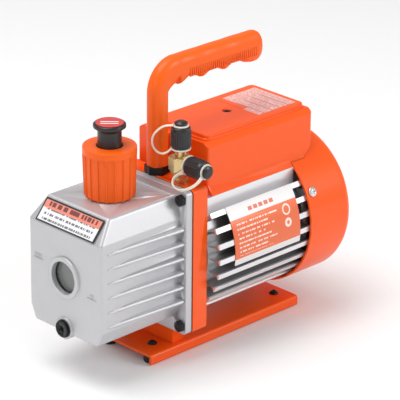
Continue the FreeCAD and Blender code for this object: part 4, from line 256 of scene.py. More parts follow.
class ShaderLibrary:
    """Shared shader node groups and the materials made from them."""

    def __init__(self) -> None:
        """Builds both shared groups."""
        self.surface = self._surface_group()
        self.print = self._print_group()
        self._made: dict[str, bpy.types.Material] = {}

    @staticmethod
    def _group(name: str, inputs: dict[str, tuple[str, object]], outputs: dict[str, str]) -> tuple[
            bpy.types.NodeTree, Nodes, bpy.types.Node, bpy.types.Node]:
        """Starts a node group with named inputs and outputs.

        Args:
            name: the group's name.
            inputs: socket type and default by name.
            outputs: socket type by name.

        Returns:
            The tree, its wrapper, its input node and its output node.
        """
        tree = bpy.data.node_groups.new(name, "ShaderNodeTree")
        for key, (kind, default) in inputs.items():
            socket = tree.interface.new_socket(key, in_out="INPUT", socket_type=kind)
            if default is not None:
                socket.default_value = default
        for key, kind in outputs.items():
            tree.interface.new_socket(key, in_out="OUTPUT", socket_type=kind)
        nodes = Nodes(tree)
        return tree, nodes, tree.nodes.new("NodeGroupInput"), tree.nodes.new("NodeGroupOutput")

    def _surface_group(self) -> bpy.types.NodeTree:
        """Softened edges, a fine grain in the relief and a slow wander in the colour.

        Returns:
            The group's tree.
        """
        tree, n, given, out = self._group(
            "softened_grain",
            {"Color": ("NodeSocketColor", (0.8, 0.8, 0.8, 1)), "Roughness": ("NodeSocketFloat", 0.5),
             "Edge Radius": ("NodeSocketFloat", 0.0005), "Grain Scale": ("NodeSocketFloat", 900.0),
             "Grain Depth": ("NodeSocketFloat", 0.00001), "Mottle": ("NodeSocketFloat", 0.03)},
            {"Color": "NodeSocketColor", "Roughness": "NodeSocketFloat", "Normal": "NodeSocketVector"})
        place = n.add("ShaderNodeTexCoord").outputs["Object"]
        grain = n.add("ShaderNodeTexNoise", Vector=place, Scale=given.outputs["Grain Scale"], Detail=3.0)
        slow = n.add("ShaderNodeTexNoise", Vector=place, Scale=60.0, Detail=4.0)
        soft = n.add("ShaderNodeBevel", samples=6, Radius=given.outputs["Edge Radius"])
        bump = n.add("ShaderNodeBump", Strength=1.0, Distance=given.outputs["Grain Depth"],
                     Height=grain.outputs[0], Normal=soft.outputs[0])
        wander = n.math("MULTIPLY", n.math("SUBTRACT", slow.outputs[0], 0.5), given.outputs["Mottle"])
        speck = n.math("MULTIPLY", n.math("SUBTRACT", grain.outputs[0], 0.5), given.outputs["Mottle"])
        gain = n.math("ADD", n.math("ADD", wander, speck), 1.0)
        tone = n.add("ShaderNodeVectorMath", operation="SCALE")
        n.feed(tone.inputs[0], given.outputs["Color"])
        n.feed(tone.inputs["Scale"], gain)
        n.feed(out.inputs["Color"], tone.outputs[0])
        n.feed(out.inputs["Roughness"], n.math("ADD", given.outputs["Roughness"], wander))
        n.feed(out.inputs["Normal"], bump.outputs[0])
        return tree

    def _print_group(self) -> bpy.types.NodeTree:
        """Rows of broken ink bars, a plain stand-in for small print.

        Returns:
            The group's tree.
        """
        tree, n, given, out = self._group(
            "ink_bars",
            {"Along": ("NodeSocketFloat", 0.0), "Across": ("NodeSocketFloat", 0.0),
             "Row Pitch": ("NodeSocketFloat", 0.002), "Row Fill": ("NodeSocketFloat", 0.5),
             "Break Scale": ("NodeSocketFloat", 600.0), "Coverage": ("NodeSocketFloat", 0.6),
             "Paper": ("NodeSocketColor", (1, 1, 1, 1)), "Ink": ("NodeSocketColor", (0, 0, 0, 1))},
            {"Color": "NodeSocketColor"})
        row = n.math("DIVIDE", given.outputs["Across"], given.outputs["Row Pitch"])
        inside = n.math("LESS_THAN", n.math("FRACT", row), given.outputs["Row Fill"])
        along = n.math("MULTIPLY", given.outputs["Along"], given.outputs["Break Scale"])
        key = n.add("ShaderNodeCombineXYZ", X=along, Y=n.math("MULTIPLY", n.math("FLOOR", row), ROW_STRIDE))
        noise = n.add("ShaderNodeTexNoise", Vector=key.outputs[0], Scale=1.0, Detail=0.0)
        keep = n.math("LESS_THAN", noise.outputs[0], given.outputs["Coverage"])
        inked = n.math("MULTIPLY", inside, keep)
        n.feed(out.inputs["Color"], n.mix(inked, given.outputs["Paper"], given.outputs["Ink"]))
        return tree

    def _start(self, name: str) -> tuple[bpy.types.Material, Nodes, bpy.types.Node]:
        """Starts a material with one principled shader.

        Args:
            name: the material's name.

        Returns:
            The material, the wrapper of its nodes, and its shader.
        """
        material = bpy.data.materials.new(name)
        material.use_nodes = True
        nodes = Nodes(material.node_tree)
        material.node_tree.nodes.clear()
        shader = nodes.add("ShaderNodeBsdfPrincipled")
        nodes.add("ShaderNodeOutputMaterial", Surface=shader.outputs[0])
        return material, nodes, shader

    def _dress(self, nodes: Nodes, shader: bpy.types.Node, finish: Finish, colour: object) -> None:
        """Feeds a shader from the shared surface group.

        Args:
            nodes: the material's nodes.
            shader: the shader to feed.
            finish: supplies the constants.
            colour: a constant or a socket.
        """
        group = nodes.add("ShaderNodeGroup", node_tree=self.surface)
        for key, value in {"Color": colour, "Roughness": finish.roughness, "Edge Radius": finish.edge,
                           "Grain Scale": finish.grain_scale, "Grain Depth": finish.grain,
                           "Mottle": finish.mottle}.items():
            nodes.feed(group.inputs[key], value)
        nodes.feed(shader.inputs["Base Color"], group.outputs["Color"])
        nodes.feed(shader.inputs["Roughness"], group.outputs["Roughness"])
        nodes.feed(shader.inputs["Normal"], group.outputs["Normal"])
        shader.inputs["Metallic"].default_value = finish.metallic
        shader.inputs["Coat Weight"].default_value = finish.coat
        shader.inputs["Transmission Weight"].default_value = finish.transmission
        shader.inputs["Specular IOR Level"].default_value = finish.specular

    def plain(self, finish: Finish) -> bpy.types.Material:
        """The material of one finish, made once.

        Args:
            finish: the finish.

        Returns:
            The material.
        """
        if finish.name not in self._made:
            material, nodes, shader = self._start(finish.name)
            self._dress(nodes, shader, finish, finish.colour)
            self._made[finish.name] = material
        return self._made[finish.name]

    def printed(self, name: str, artwork: "Artwork", base: Finish) -> bpy.types.Material:
        """A material whose colour comes from an artwork drawn in object space.

        Args:
            name: the material's name.
            artwork: draws the colour.
            base: supplies everything but the colour.

        Returns:
            The material.
        """
        material, nodes, shader = self._start(name)
        split = nodes.add("ShaderNodeSeparateXYZ", Vector=nodes.add("ShaderNodeTexCoord").outputs["Object"])
        self._dress(nodes, shader, base, artwork.draw(nodes, self.print, split.outputs))
        return material


class Artwork:
    """Colours drawn on a piece from its object coordinates."""

    def draw(self, n: Nodes, bars: bpy.types.NodeTree, xyz: list[Socket]) -> Socket:
        """Draws the colour.

        Args:
            n: the material's nodes.
            bars: the shared print group.
            xyz: the three object coordinates.

        Returns:
            The colour socket.
        """
        raise NotImplementedError

    @staticmethod
    def small_print(n: Nodes, bars: bpy.types.NodeTree, **values: object) -> Socket:
        """Adds the print group with its inputs set by name.

        Args:
            n: the material's nodes.
            bars: the shared print group.
            values: inputs by name, with underscores for spaces.

        Returns:
            The group's colour.
        """
        group = n.add("ShaderNodeGroup", node_tree=bars)
        for key, value in values.items():
            n.feed(group.inputs[key.replace("_", " ")], value)
        return group.outputs[0]


@dataclass
class SlopeArt(Artwork):
    """Notice on the casing's slope: dark border, warm band above, white block with ink bars below."""

    half_width: float
    low_z: float
    high_z: float
    border: float = 1.3 * MM
    split: float = 0.40

    def draw(self, n: Nodes, bars: bpy.types.NodeTree, xyz: list[Socket]) -> Socket:
        """Draws the slope notice.

        Args:
            n: the material's nodes.
            bars: the shared print group.
            xyz: the three object coordinates.

        Returns:
            The colour socket.
        """
        middle = self.low_z + (self.high_z - self.low_z) * (1 - self.split)
        white, warm = (0.84, 0.84, 0.85, 1), (0.80, 0.26, 0.19, 1)
        across = n.math("SUBTRACT", xyz[2], self.low_z + 1.6 * MM)
        lower = self.small_print(n, bars, Along=xyz[1], Across=across,
                                 Row_Pitch=3.0 * MM, Row_Fill=0.42, Break_Scale=950.0, Coverage=0.56,
                                 Paper=white, Ink=(0.16, 0.16, 0.17, 1))
        upper = self.small_print(n, bars, Along=xyz[1], Across=n.math("SUBTRACT", xyz[2], middle + 1.5 * MM),
                                 Row_Pitch=6.0 * MM, Row_Fill=0.44, Break_Scale=330.0, Coverage=0.54,
                                 Paper=warm, Ink=(0.20, 0.05, 0.05, 1))
        margin = n.math("LESS_THAN", n.math("ABSOLUTE", xyz[1]), self.half_width - 5 * MM)
        lower = n.mix(margin, white, lower)
        upper = n.mix(margin, warm, upper)
        face = n.mix(n.math("GREATER_THAN", xyz[2], middle), lower, upper)
        within = n.math("LESS_THAN", n.math("ABSOLUTE", xyz[1]), self.half_width - self.border)
        edge = self.border * 0.7
        inside = n.math("MULTIPLY", within, n.band(xyz[2], self.low_z + edge, self.high_z - edge))
        return n.mix(inside, (0.02, 0.02, 0.02, 1), face)


@dataclass
class LidArt(Artwork):
    """Notice on the box's lid: pale pink block with rows of thin ink."""

    low: Vector
    high: Vector

    def draw(self, n: Nodes, bars: bpy.types.NodeTree, xyz: list[Socket]) -> Socket:
        """Draws the notice.

        Args:
            n: the material's nodes.
            bars: the shared print group.
            xyz: the three object coordinates.

        Returns:
            The colour socket.
        """
        fine = self.small_print(n, bars, Along=xyz[1], Across=xyz[0], Row_Pitch=2.1 * MM, Row_Fill=0.42,
                                Break_Scale=700.0, Coverage=0.56, Paper=(0.86, 0.50, 0.46, 1),
                                Ink=(0.62, 0.20, 0.16, 1))
        strong = n.math("LESS_THAN", n.math("FRACT", n.math("DIVIDE", xyz[0], 8.4 * MM)), 0.10)
        near = n.math("LESS_THAN", xyz[1], (self.low.y + self.high.y) / 2 + 8 * MM)
        face = n.mix(n.math("MULTIPLY", strong, near), fine, (0.45, 0.04, 0.04, 1))
        step = n.math("MULTIPLY", n.math("GREATER_THAN", xyz[1], self.low.y + 16 * MM), 5 * MM)
        ragged = n.math("LESS_THAN", xyz[0], n.math("ADD", step, self.low.x))
        return n.mix(ragged, face, ORANGE_PAINT.colour)


@dataclass
class BarrelShadeArt(Artwork):
    """Motor housing with painted shade: crests and the top platform keep the bare colour, and the barrel
    between the crests is darkened as painted shade of the recesses, told apart by their distance from the
    shaft.
    """

    shaft_z: float = 78.0 * MM
    crest: float = 53.6 * MM
    platform_z: float = 104.0 * MM

    def draw(self, n: Nodes, bars: bpy.types.NodeTree, xyz: list[Socket]) -> Socket:
        """Draws the housing with its painted shade.

        Args:
            n: the material's nodes.
            bars: the shared print group; not used here.
            xyz: the three object coordinates.

        Returns:
            The colour socket.
        """
        rise = n.math("SUBTRACT", xyz[2], self.shaft_z)
        crest = n.math("GREATER_THAN", n.distance(xyz[1], rise), self.crest)
        unshaded_mask = n.math("MAXIMUM", crest, n.math("GREATER_THAN", xyz[2], self.platform_z))
        # painted shade: below the crest radius and under the platform the housing is darkened as the shade of
        # the fin recesses
        return n.mix(unshaded_mask, (0.34, 0.34, 0.35, 1), EXTRUSION.colour)


@dataclass
class PlateArt(Artwork):
    """Nameplate: bare strip on top with a plain mark, orange field with pale rows, a ring and a pale edge."""

    low: Vector
    high: Vector
    field_top: float
    foot_strip: float = 4.6 * MM

    def draw(self, n: Nodes, bars: bpy.types.NodeTree, xyz: list[Socket]) -> Socket:
        """Draws the plate.

        Args:
            n: the material's nodes.
            bars: the shared print group.
            xyz: the three object coordinates.

        Returns:
            The colour socket.
        """
        bare, orange, pale = (0.74, 0.72, 0.72, 1), (0.78, 0.15, 0.05, 1), (0.90, 0.72, 0.64, 1)
        rows = self.small_print(n, bars, Along=xyz[0], Across=xyz[2], Row_Pitch=3.3 * MM, Row_Fill=0.34,
                                Break_Scale=900.0, Coverage=0.56, Paper=orange, Ink=pale)
        row = n.math("FLOOR", n.math("DIVIDE", xyz[2], 3.3 * MM))
        reach = n.math("MULTIPLY", n.math("FRACT", n.math("MULTIPLY", row, 0.37)), 16 * MM)
        short = n.math("LESS_THAN", xyz[0], n.math("SUBTRACT", self.high.x - 20 * MM, reach))
        printed = n.math("MULTIPLY", short, n.band(xyz[0], self.low.x + 4.5 * MM, self.high.x))
        between = n.band(xyz[2], self.low.z + 6.5 * MM, self.field_top - 2.6 * MM)
        printed = n.math("MULTIPLY", printed, between)
        face = n.mix(printed, orange, rows)
        for down, radius, width in ((5.5 * MM, 3.4 * MM, 0.6 * MM), (15 * MM, 2.4 * MM, 1.0 * MM)):
            ring = self._ring(n, xyz, self.high.x - 12 * MM, self.field_top - down, radius, width)
            face = n.mix(ring, face, pale)
        foot = n.math("LESS_THAN", xyz[2], self.low.z + self.foot_strip)
        face = n.mix(foot, face, bare)
        strip = n.math("GREATER_THAN", xyz[2], self.field_top)
        start, step = self.low.x + 20 * MM, 5.4 * MM
        place = n.math("DIVIDE", n.math("SUBTRACT", xyz[0], start), step)
        blocks = n.math("LESS_THAN", n.math("FRACT", place), 0.74)
        mark = n.math("MULTIPLY", n.math("MULTIPLY", n.band(xyz[0], start, start + 5 * step), blocks),
                      n.band(xyz[2], self.field_top + 2.4 * MM, self.field_top + 5.0 * MM))
        return n.mix(strip, face, n.mix(mark, bare, (0.62, 0.16, 0.09, 1)))

    @staticmethod
    def _ring(n: Nodes, xyz: list[Socket], x: float, z: float, radius: float, width: float) -> Socket:
        """1 on a thin ring in the X-Z plane.

        Args:
            n: the material's nodes.
            xyz: the three object coordinates.
            x: the ring's centre along X.
            z: the ring's centre along Z.
            radius: its mean radius.
            width: half its width.

        Returns:
            The mask.
        """
        dx, dz = n.math("SUBTRACT", xyz[0], x), n.math("SUBTRACT", xyz[2], z)
        return n.band(n.distance(dx, dz), radius - width, radius + width)


@dataclass
class BadgeArt(Artwork):
    """Stopper's disc: warm red with two pale bars."""

    centre: Vector

    def draw(self, n: Nodes, bars: bpy.types.NodeTree, xyz: list[Socket]) -> Socket:
        """Draws the disc.

        Args:
            n: the material's nodes.
            bars: the shared print group; not used here.
            xyz: the three object coordinates.

        Returns:
            The colour socket.
        """
        dx, dy = n.math("SUBTRACT", xyz[0], self.centre.x), n.math("SUBTRACT", xyz[1], self.centre.y)
        across = n.math("ADD", dx, dy)
        along = n.math("ABSOLUTE", n.math("SUBTRACT", dx, dy))
        stripe = n.math("LESS_THAN", n.math("FRACT", n.math("DIVIDE", across, 5.0 * MM)), 0.40)
        within = n.math("MULTIPLY", n.math("LESS_THAN", along, 9 * MM), n.band(across, -5 * MM, 5 * MM))
        pale = n.math("MULTIPLY", stripe, within)
        return n.mix(pale, (0.60, 0.045, 0.04, 1), (0.85, 0.80, 0.78, 1))


# Meshes -------------------------------------------------------------------------------------------
def add_mesh(name: str, vertices: list[Vector], faces: list[Face], material: bpy.types.Material,
             smooth: float = 40.0) -> bpy.types.Object:
    """Makes a mesh object at the origin.

    Args:
        name: the piece's name.
        vertices: points in the row frame.
        faces: vertex indices.
        material: its material.
        smooth: edges sharper than this many degrees stay sharp.

    Returns:
        The object.
    """
    mesh = bpy.data.meshes.new(name)
    mesh.from_pydata([tuple(v) for v in vertices], [], faces)
    mesh.materials.append(material)
    return place_mesh(name, mesh, smooth)


def place_mesh(name: str, mesh: bpy.types.Mesh, smooth: float = 40.0) -> bpy.types.Object:
    """Links a mesh as an object at the origin, with normals that keep large faces flat.

    Args:
        name: the piece's name.
        mesh: its mesh.
        smooth: edges sharper than this many degrees stay sharp.

    Returns:
        The object.
    """
    mesh.validate()
    for polygon in mesh.polygons:
        polygon.use_smooth = True
    mesh.set_sharp_from_angle(angle=math.radians(smooth))
    draft = bpy.data.objects.new(name, mesh)
    bpy.context.scene.collection.objects.link(draft)
    weigh = draft.modifiers.new("weigh", "WEIGHTED_NORMAL")
    weigh.mode, weigh.keep_sharp, weigh.weight = "FACE_AREA_WITH_ANGLE", True, 90
    final = plain_copy(draft, name)
    bpy.data.objects.remove(draft)
    made = bpy.data.objects.new(name, final)
    bpy.context.scene.collection.objects.link(made)
    LOG.info("%s: %d faces", name, len(final.polygons))
    return made


def plain_copy(source: bpy.types.Object, name: str) -> bpy.types.Mesh:
    """A plain mesh with the object's modifiers applied.

    Args:
        source: the object.
        name: the mesh's name.

    Returns:
        The mesh.
    """
    source.update_tag()
    bpy.context.view_layer.update()
    graph = bpy.context.evaluated_depsgraph_get()
    mesh = bpy.data.meshes.new_from_object(source.evaluated_get(graph))
    mesh.name = name
    return mesh


def loft(rings: list[list[Vector]], closed_ends: bool = True) -> Skin:
    """Vertices and faces of a skin over equal-sized rings.

    Args:
        rings: sections in order, equal in size.
        closed_ends: whether the first and last are capped.

    Returns:
        Vertices and faces.
    """
    size = len(rings[0])
    vertices = [point for ring in rings for point in ring]
    faces: list[Face] = []
    for row in range(len(rings) - 1):
        for k in range(size):
            a, b = row * size + k, row * size + (k + 1) % size
            faces.append((a, b, b + size, a + size))
    if closed_ends:
        faces.append(tuple(reversed(range(size))))
        faces.append(tuple(range((len(rings) - 1) * size, len(rings) * size)))
    return vertices, faces


def hoop(rings: list[list[Vector]]) -> Skin:
    """Vertices and faces of a skin over rings that close on themselves.

    Args:
        rings: sections in order round the piece, equal in size.

    Returns:
        Vertices and faces.
    """
    vertices, faces = loft(rings, closed_ends=False)
    size = len(rings[0])
    last = (len(rings) - 1) * size
    faces += [(last + k, last + (k + 1) % size, (k + 1) % size, k) for k in range(size)]
    return vertices, faces


def slab(corners: list[Vector], normal: Vector, thickness: float) -> Skin:
    """A thin plate on a flat outline."""
    lift = normal.normalized() * thickness
    return loft([corners, [corner + lift for corner in corners]])


def squarer(value: float, power: float) -> float:
    """A sine or cosine raised to a power, with its sign kept."""
    return math.copysign(abs(value) ** power, value)


def superellipse(half_w: float, low: float, high: float, power: float,
                 count: int) -> list[tuple[float, float]]:
    """Points of a rounded section: half_w each side, from low to high.

    Args:
        half_w: half the width.
        low: lowest height.
        high: greatest height.
        power: 2 for an ellipse, more for squarer corners.
        count: number of points.

    Returns:
        Points as (across, height).
    """
    points = []
    middle, half_h = (low + high) / 2, (high - low) / 2
    for k in range(count):
        angle = 2 * math.pi * k / count
        points.append((half_w * squarer(math.cos(angle), 2 / power),
                       middle + half_h * squarer(math.sin(angle), 2 / power)))
    return points


# Geometry Nodes -----------------------------------------------------------------------------------
class Repeater:
    """A Geometry Nodes tree that repeats a piece's own mesh along a line, with named inputs."""

    INPUTS = {"Count": ("NodeSocketInt", 10), "Step": ("NodeSocketVector", (0.002, 0, 0)),
              "Jitter": ("NodeSocketFloat", 0.0), "Seed": ("NodeSocketInt", 7),
              "Material": ("NodeSocketMaterial", None)}

    def __init__(self) -> None:
        """Builds the tree."""
        self.tree = bpy.data.node_groups.new("repeater", "GeometryNodeTree")
        self.tree.interface.new_socket("Piece", in_out="INPUT", socket_type="NodeSocketGeometry")
        self.identifiers: dict[str, str] = {}
        for key, (kind, default) in self.INPUTS.items():
            socket = self.tree.interface.new_socket(key, in_out="INPUT", socket_type=kind)
            if default is not None:
                socket.default_value = default
            self.identifiers[key] = socket.identifier
        self.tree.interface.new_socket("Geometry", in_out="OUTPUT", socket_type="NodeSocketGeometry")
        n = Nodes(self.tree)
        given = self.tree.nodes.new("NodeGroupInput").outputs
        line = n.add("GeometryNodeMeshLine", mode="OFFSET", Count=given["Count"], Offset=given["Step"])
        wobble = n.add("FunctionNodeRandomValue", data_type="FLOAT_VECTOR")
        n.feed(wobble.inputs[0], (-1.0, -1.0, -1.0))
        n.feed(wobble.inputs[1], (1.0, 1.0, 1.0))
        n.feed(wobble.inputs["Seed"], given["Seed"])
        shift = n.add("ShaderNodeVectorMath", operation="SCALE")
        n.feed(shift.inputs[0], wobble.outputs[0])
        n.feed(shift.inputs["Scale"], given["Jitter"])
        moved = n.add("GeometryNodeSetPosition", Geometry=line.outputs[0], Offset=shift.outputs[0])
        spread = n.add("GeometryNodeInstanceOnPoints", Points=moved.outputs[0], Instance=given["Piece"])
        real = n.add("GeometryNodeRealizeInstances", Geometry=spread.outputs[0])
        painted = n.add("GeometryNodeSetMaterial", Geometry=real.outputs[0], Material=given["Material"])
        out = self.tree.nodes.new("NodeGroupOutput")
        n.feed(out.inputs[0], painted.outputs[0])

    def grow(self, name: str, skin: Skin, smooth: float = 40.0,
             **values: object) -> bpy.types.Object:
        """Evaluates the tree once and returns a plain object.

        Args:
            name: the piece's name.
            skin: vertices and faces of the first copy.
            smooth: edges sharper than this many degrees stay sharp.
            values: inputs by name.

        Returns:
            The object.
        """
        seed_mesh = bpy.data.meshes.new(name + "_seed")
        seed_mesh.from_pydata([tuple(v) for v in skin[0]], [], skin[1])
        seed = bpy.data.objects.new(name + "_seed", seed_mesh)
        bpy.context.scene.collection.objects.link(seed)
        modifier = seed.modifiers.new("repeat", "NODES")
        modifier.node_group = self.tree
        for key, value in values.items():
            modifier[self.identifiers[key]] = value
        mesh = plain_copy(seed, name)
        bpy.data.objects.remove(seed)
        return place_mesh(name, mesh, smooth)


def block(low: Vector, high: Vector) -> Skin:
    """A box from corner to corner.

    Args:
        low: lowest corner.
        high: highest corner.

    Returns:
        Vertices and faces.
    """
    corners = [(low.x, low.y), (high.x, low.y), (high.x, high.y), (low.x, high.y)]
    return loft([[Vector((x, y, z)) for x, y in corners] for z in (low.z, high.z)])


# Sub-assemblies -----------------------------------------------------------------------------------
@dataclass
class CarriedNodes:
    """CAD nodes shown with welded, smoothly shaded copies of their own meshes."""

    library: ShaderLibrary
    frame: dict
    weld: float = 0.000002
    sharp: float = 32.0
    finer: dict[str, float] = field(default_factory=lambda: {
        "motor_housing": 16.0, "oil_casing": 24.0, "capacitor_box": 20.0, "top_flare_cap": 8.0,
        "side_flare_cap": 8.0})

    def build(self) -> None:
        """Makes a finished copy of each carried node."""
        for finish, names in CARRIED.items():
            for name in names:
                self.copy(name, self.library.plain(finish))

    def copy(self, node: str, material: bpy.types.Material) -> bpy.types.Object:
        """Makes one finished copy that stands for its node.

        Args:
            node: the CAD node.
            material: its material.

        Returns:
            The copy.
        """
        source = self.frame["nodes"][node]
        work = bmesh.new()
        work.from_mesh(source.data)
        bmesh.ops.remove_doubles(work, verts=work.verts, dist=self.weld)
        mesh = bpy.data.meshes.new("look_" + node)
        work.to_mesh(mesh)
        work.free()
        mesh.materials.clear()
        mesh.materials.append(material)
        made = place_mesh("look_" + node, mesh, self.finer.get(node, self.sharp))
        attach(made, source["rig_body"])
        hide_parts(node)
        return made


@dataclass
class ExhaustCap:
    """Cap on the filler neck: plain collar on top, flat panels between thin ribs below, hollow inside."""

    library: ShaderLibrary
    ribs: int = 18
    rib_share: float = 0.07
    panel_depth: float = 0.9 * MM
    collar: float = 5.2 * MM
    wall: float = 2.4 * MM
    hole: float = 9.4 * MM
    neck: float = 14.4 * MM
    edge: float = 0.9 * MM
    extra_height: float = 2.4 * MM
    foot_taper: float = 1.0 * MM

    def build(self) -> None:
        """Builds the cap."""
        low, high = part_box("exhaust_cap")
        centre, radius = (low + high) / 2, (high.x - low.x) / 2
        profile = self._profile(low.z, high.z + self.extra_height, radius)
        rings = []
        shares = (0.0, self.rib_share, self.rib_share + 0.05, 0.3, 0.5, 0.7, 0.95 - self.rib_share,
                  1 - self.rib_share)
        for rib in range(self.ribs):
            for share in shares:
                angle = 2 * math.pi * (rib + share) / self.ribs
                out = Vector((math.cos(angle), math.sin(angle), 0))
                panel = self._panel(share)
                rings.append([Vector((centre.x, centre.y, z)) + out * (r - self.panel_depth * panel * cut)
                              for r, z, cut in profile])
        made = add_mesh("exhaust_cap_shell", *hoop(rings), self.library.plain(ORANGE_PLASTIC), 28)
        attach(made, Body.CAP.value)
        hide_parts("exhaust_cap")

    def _panel(self, share: float) -> float:
        """How far a point of the pitch is taken in: 0 on a rib, 1 on a panel, a little more in its middle.

        Args:
            share: place in the pitch, 0 to 1.

        Returns:
            The depth, in panel depths.
        """
        if share <= self.rib_share or share >= 1 - self.rib_share:
            return 0.0
        return 1.0 + 0.25 * math.sin(math.pi * share)

    def _profile(self, low: float, high: float, radius: float) -> list[tuple[float, float, float]]:
        """Closed outline as (radius, height, share of the panel's cut).

        Args:
            low: lowest height.
            high: greatest height.
            radius: the collar's radius.

        Returns:
            Points round the wall's section.
        """
        foot = radius - self.foot_taper
        ledge = high - self.collar
        shelf = high - 3.4 * MM
        return [(foot - 0.5 * MM, low, 1), (foot, low + 0.5 * MM, 1),
                ((foot + radius) / 2, (low + ledge) / 2, 1), (radius, ledge - 0.5 * MM, 1), (radius, ledge, 0),
                (radius, high - self.edge, 0), (radius - self.edge * 0.3, high - self.edge * 0.3, 0),
                (radius - self.edge, high, 0), (self.hole + 0.4 * MM, high, 0),
                (self.hole, high - 0.4 * MM, 0), (self.hole, shelf, 0), (radius - self.wall, shelf, 0),
                (radius - self.wall, low + 12.0 * MM, 0),
                (self.neck, low + 11.0 * MM, 0), (self.neck, low, 0)]


@dataclass
class Handle:
    """Carrying handle: post, bend, grip with finger grooves, hook, and a ribbed band on both sides."""

    library: ShaderLibrary
    ribs: Repeater
    half_width: float = 7.0 * MM
    post_depth: float = 14.4 * MM
    bend: float = 24.0 * MM
    grip_depth: float = 17.8 * MM
    groove_pitch: float = 22.5 * MM
    groove_depth: float = 4.4 * MM
    grooves: int = 3
    first_crest: float = 19.0 * MM
    ring_size: int = 28
    rib_step: float = 2.1 * MM
    low: Vector = field(init=False)
    high: Vector = field(init=False)

    def build(self) -> None:
        """Builds the handle and its ribs."""
        self.low, self.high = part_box("handle")
        material = self.library.plain(ORANGE_PLASTIC)
        vertices, faces = loft(self._rings())
        body = add_mesh("handle_body", vertices, faces, material, 50)
        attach(body, Body.PUMP.value)
        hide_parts("handle")
        for side in (-1, 1):
            near = side * (self.half_width + 0.25 * MM)
            far = side * (self.half_width - 1.2 * MM)
            low_z = self.high.z - self.grip_depth + 0.6 * MM
            first = block(Vector((self.axis_x + 26 * MM, min(near, far), low_z)),
                          Vector((self.axis_x + 27.1 * MM, max(near, far), low_z + 6.4 * MM)))
            made = self.ribs.grow(f"grip_ribs_{'near' if side < 0 else 'far'}", first, Count=33,
                                  Step=(self.rib_step, 0, 0), Seed=3, Jitter=0.0, Material=material)
            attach(made, Body.PUMP.value)

    @property
    def axis_x(self) -> float:
        """X of the post's axis."""
        return self.low.x + self.post_depth / 2

    def _rings(self) -> list[list[Vector]]:
        """Sections from the post's foot to the hook's end.

        Returns:
            The sections, in order.
        """
        rings = []
        top, front = self.high.z, self.low.x
        for k in range(9):
            z = self.low.z + (top - self.bend - self.low.z) * k / 8
            swell = 0.6 * MM * max(0.0, 1 - k / 1.2)
            rings.append(self._section(Vector((front, 0, z)), Vector((1, 0, 0)), self.post_depth + swell,
                                       swell / 2))
        for k in range(1, 13):
            angle = math.pi / 2 * k / 12
            corner = Vector((front + self.bend, 0, top - self.bend))
            out = Vector((-math.cos(angle), 0, math.sin(angle)))
            depth = self.post_depth + (self.grip_depth - self.post_depth) * k / 12
            depth += 3.2 * MM * math.sin(2 * angle)
            rings.append(self._section(corner + out * self.bend, -out, depth))
        start, end = front + self.bend, self.high.x
        count = 72
        for k in range(1, count + 1):
            x = start + (end - start) * k / count
            rings.append(self._section(Vector((x, 0, top)), Vector((0, 0, -1)), self._depth_at(x), 0.0,
                                       self._end(x)))
        return rings

    def _depth_at(self, x: float) -> float:
        """The grip's depth at x: crests and grooves, then the hook.

        Args:
            x: place along the grip.

        Returns:
            The depth.
        """
        crest = self.axis_x + self.first_crest
        last = crest + self.grooves * self.groove_pitch
        deepest = self.grip_depth + self.groove_depth
        if x < crest:
            ease = max(0.0, min(1.0, (x - (crest - 12 * MM)) / (12 * MM)))
            return self.grip_depth + self.groove_depth * ease * ease * (3 - 2 * ease)
        if x < last:
            wave = 0.5 - 0.5 * math.cos(2 * math.pi * (x - crest) / self.groove_pitch)
            return deepest - self.groove_depth * wave ** 0.8
        ease = min(1.0, (x - last) / (5 * MM))
        return deepest + 1.2 * MM * ease

    def _end(self, x: float) -> float:
        """How much of the section is left near the free end, for a rounded end.

        Args:
            x: place along the grip.

        Returns:
            The share that is left.
        """
        reach = 8.0 * MM
        past = max(0.0, (x - (self.high.x - reach)) / reach)
        return math.sqrt(max(0.0, 1 - past ** 2.6))

    def _section(self, top: Vector, inward: Vector, depth: float, extra: float = 0.0,
                 keep: float = 1.0) -> list[Vector]:
        """One rounded section that hangs from its outer point along inward.

        Args:
            top: its outer point.
            inward: direction towards its inner side.
            depth: its size along inward.
            extra: added to half its width.
            keep: share that is left of it at the free end.

        Returns:
            Its points.
        """
        points = superellipse(self.half_width + extra, 0.0, depth, 2.8, self.ring_size)
        middle = depth / 2
        keep = max(keep, 0.03)
        flat = 0.45 + 0.55 * keep if keep < 1 else 1.0
        ring = []
        for across, down in points:
            sideways = Vector((0, across * keep ** 0.5 * self._crown(down / depth), 0))
            ring.append(top + inward * (middle + (down - middle) * flat * keep ** 0.35) + sideways)
        return ring

    @staticmethod
    def _crown(share: float) -> float:
        """Narrows the section towards its outer side."""
        return 0.86 + 0.14 * min(1.0, share * 2.4)


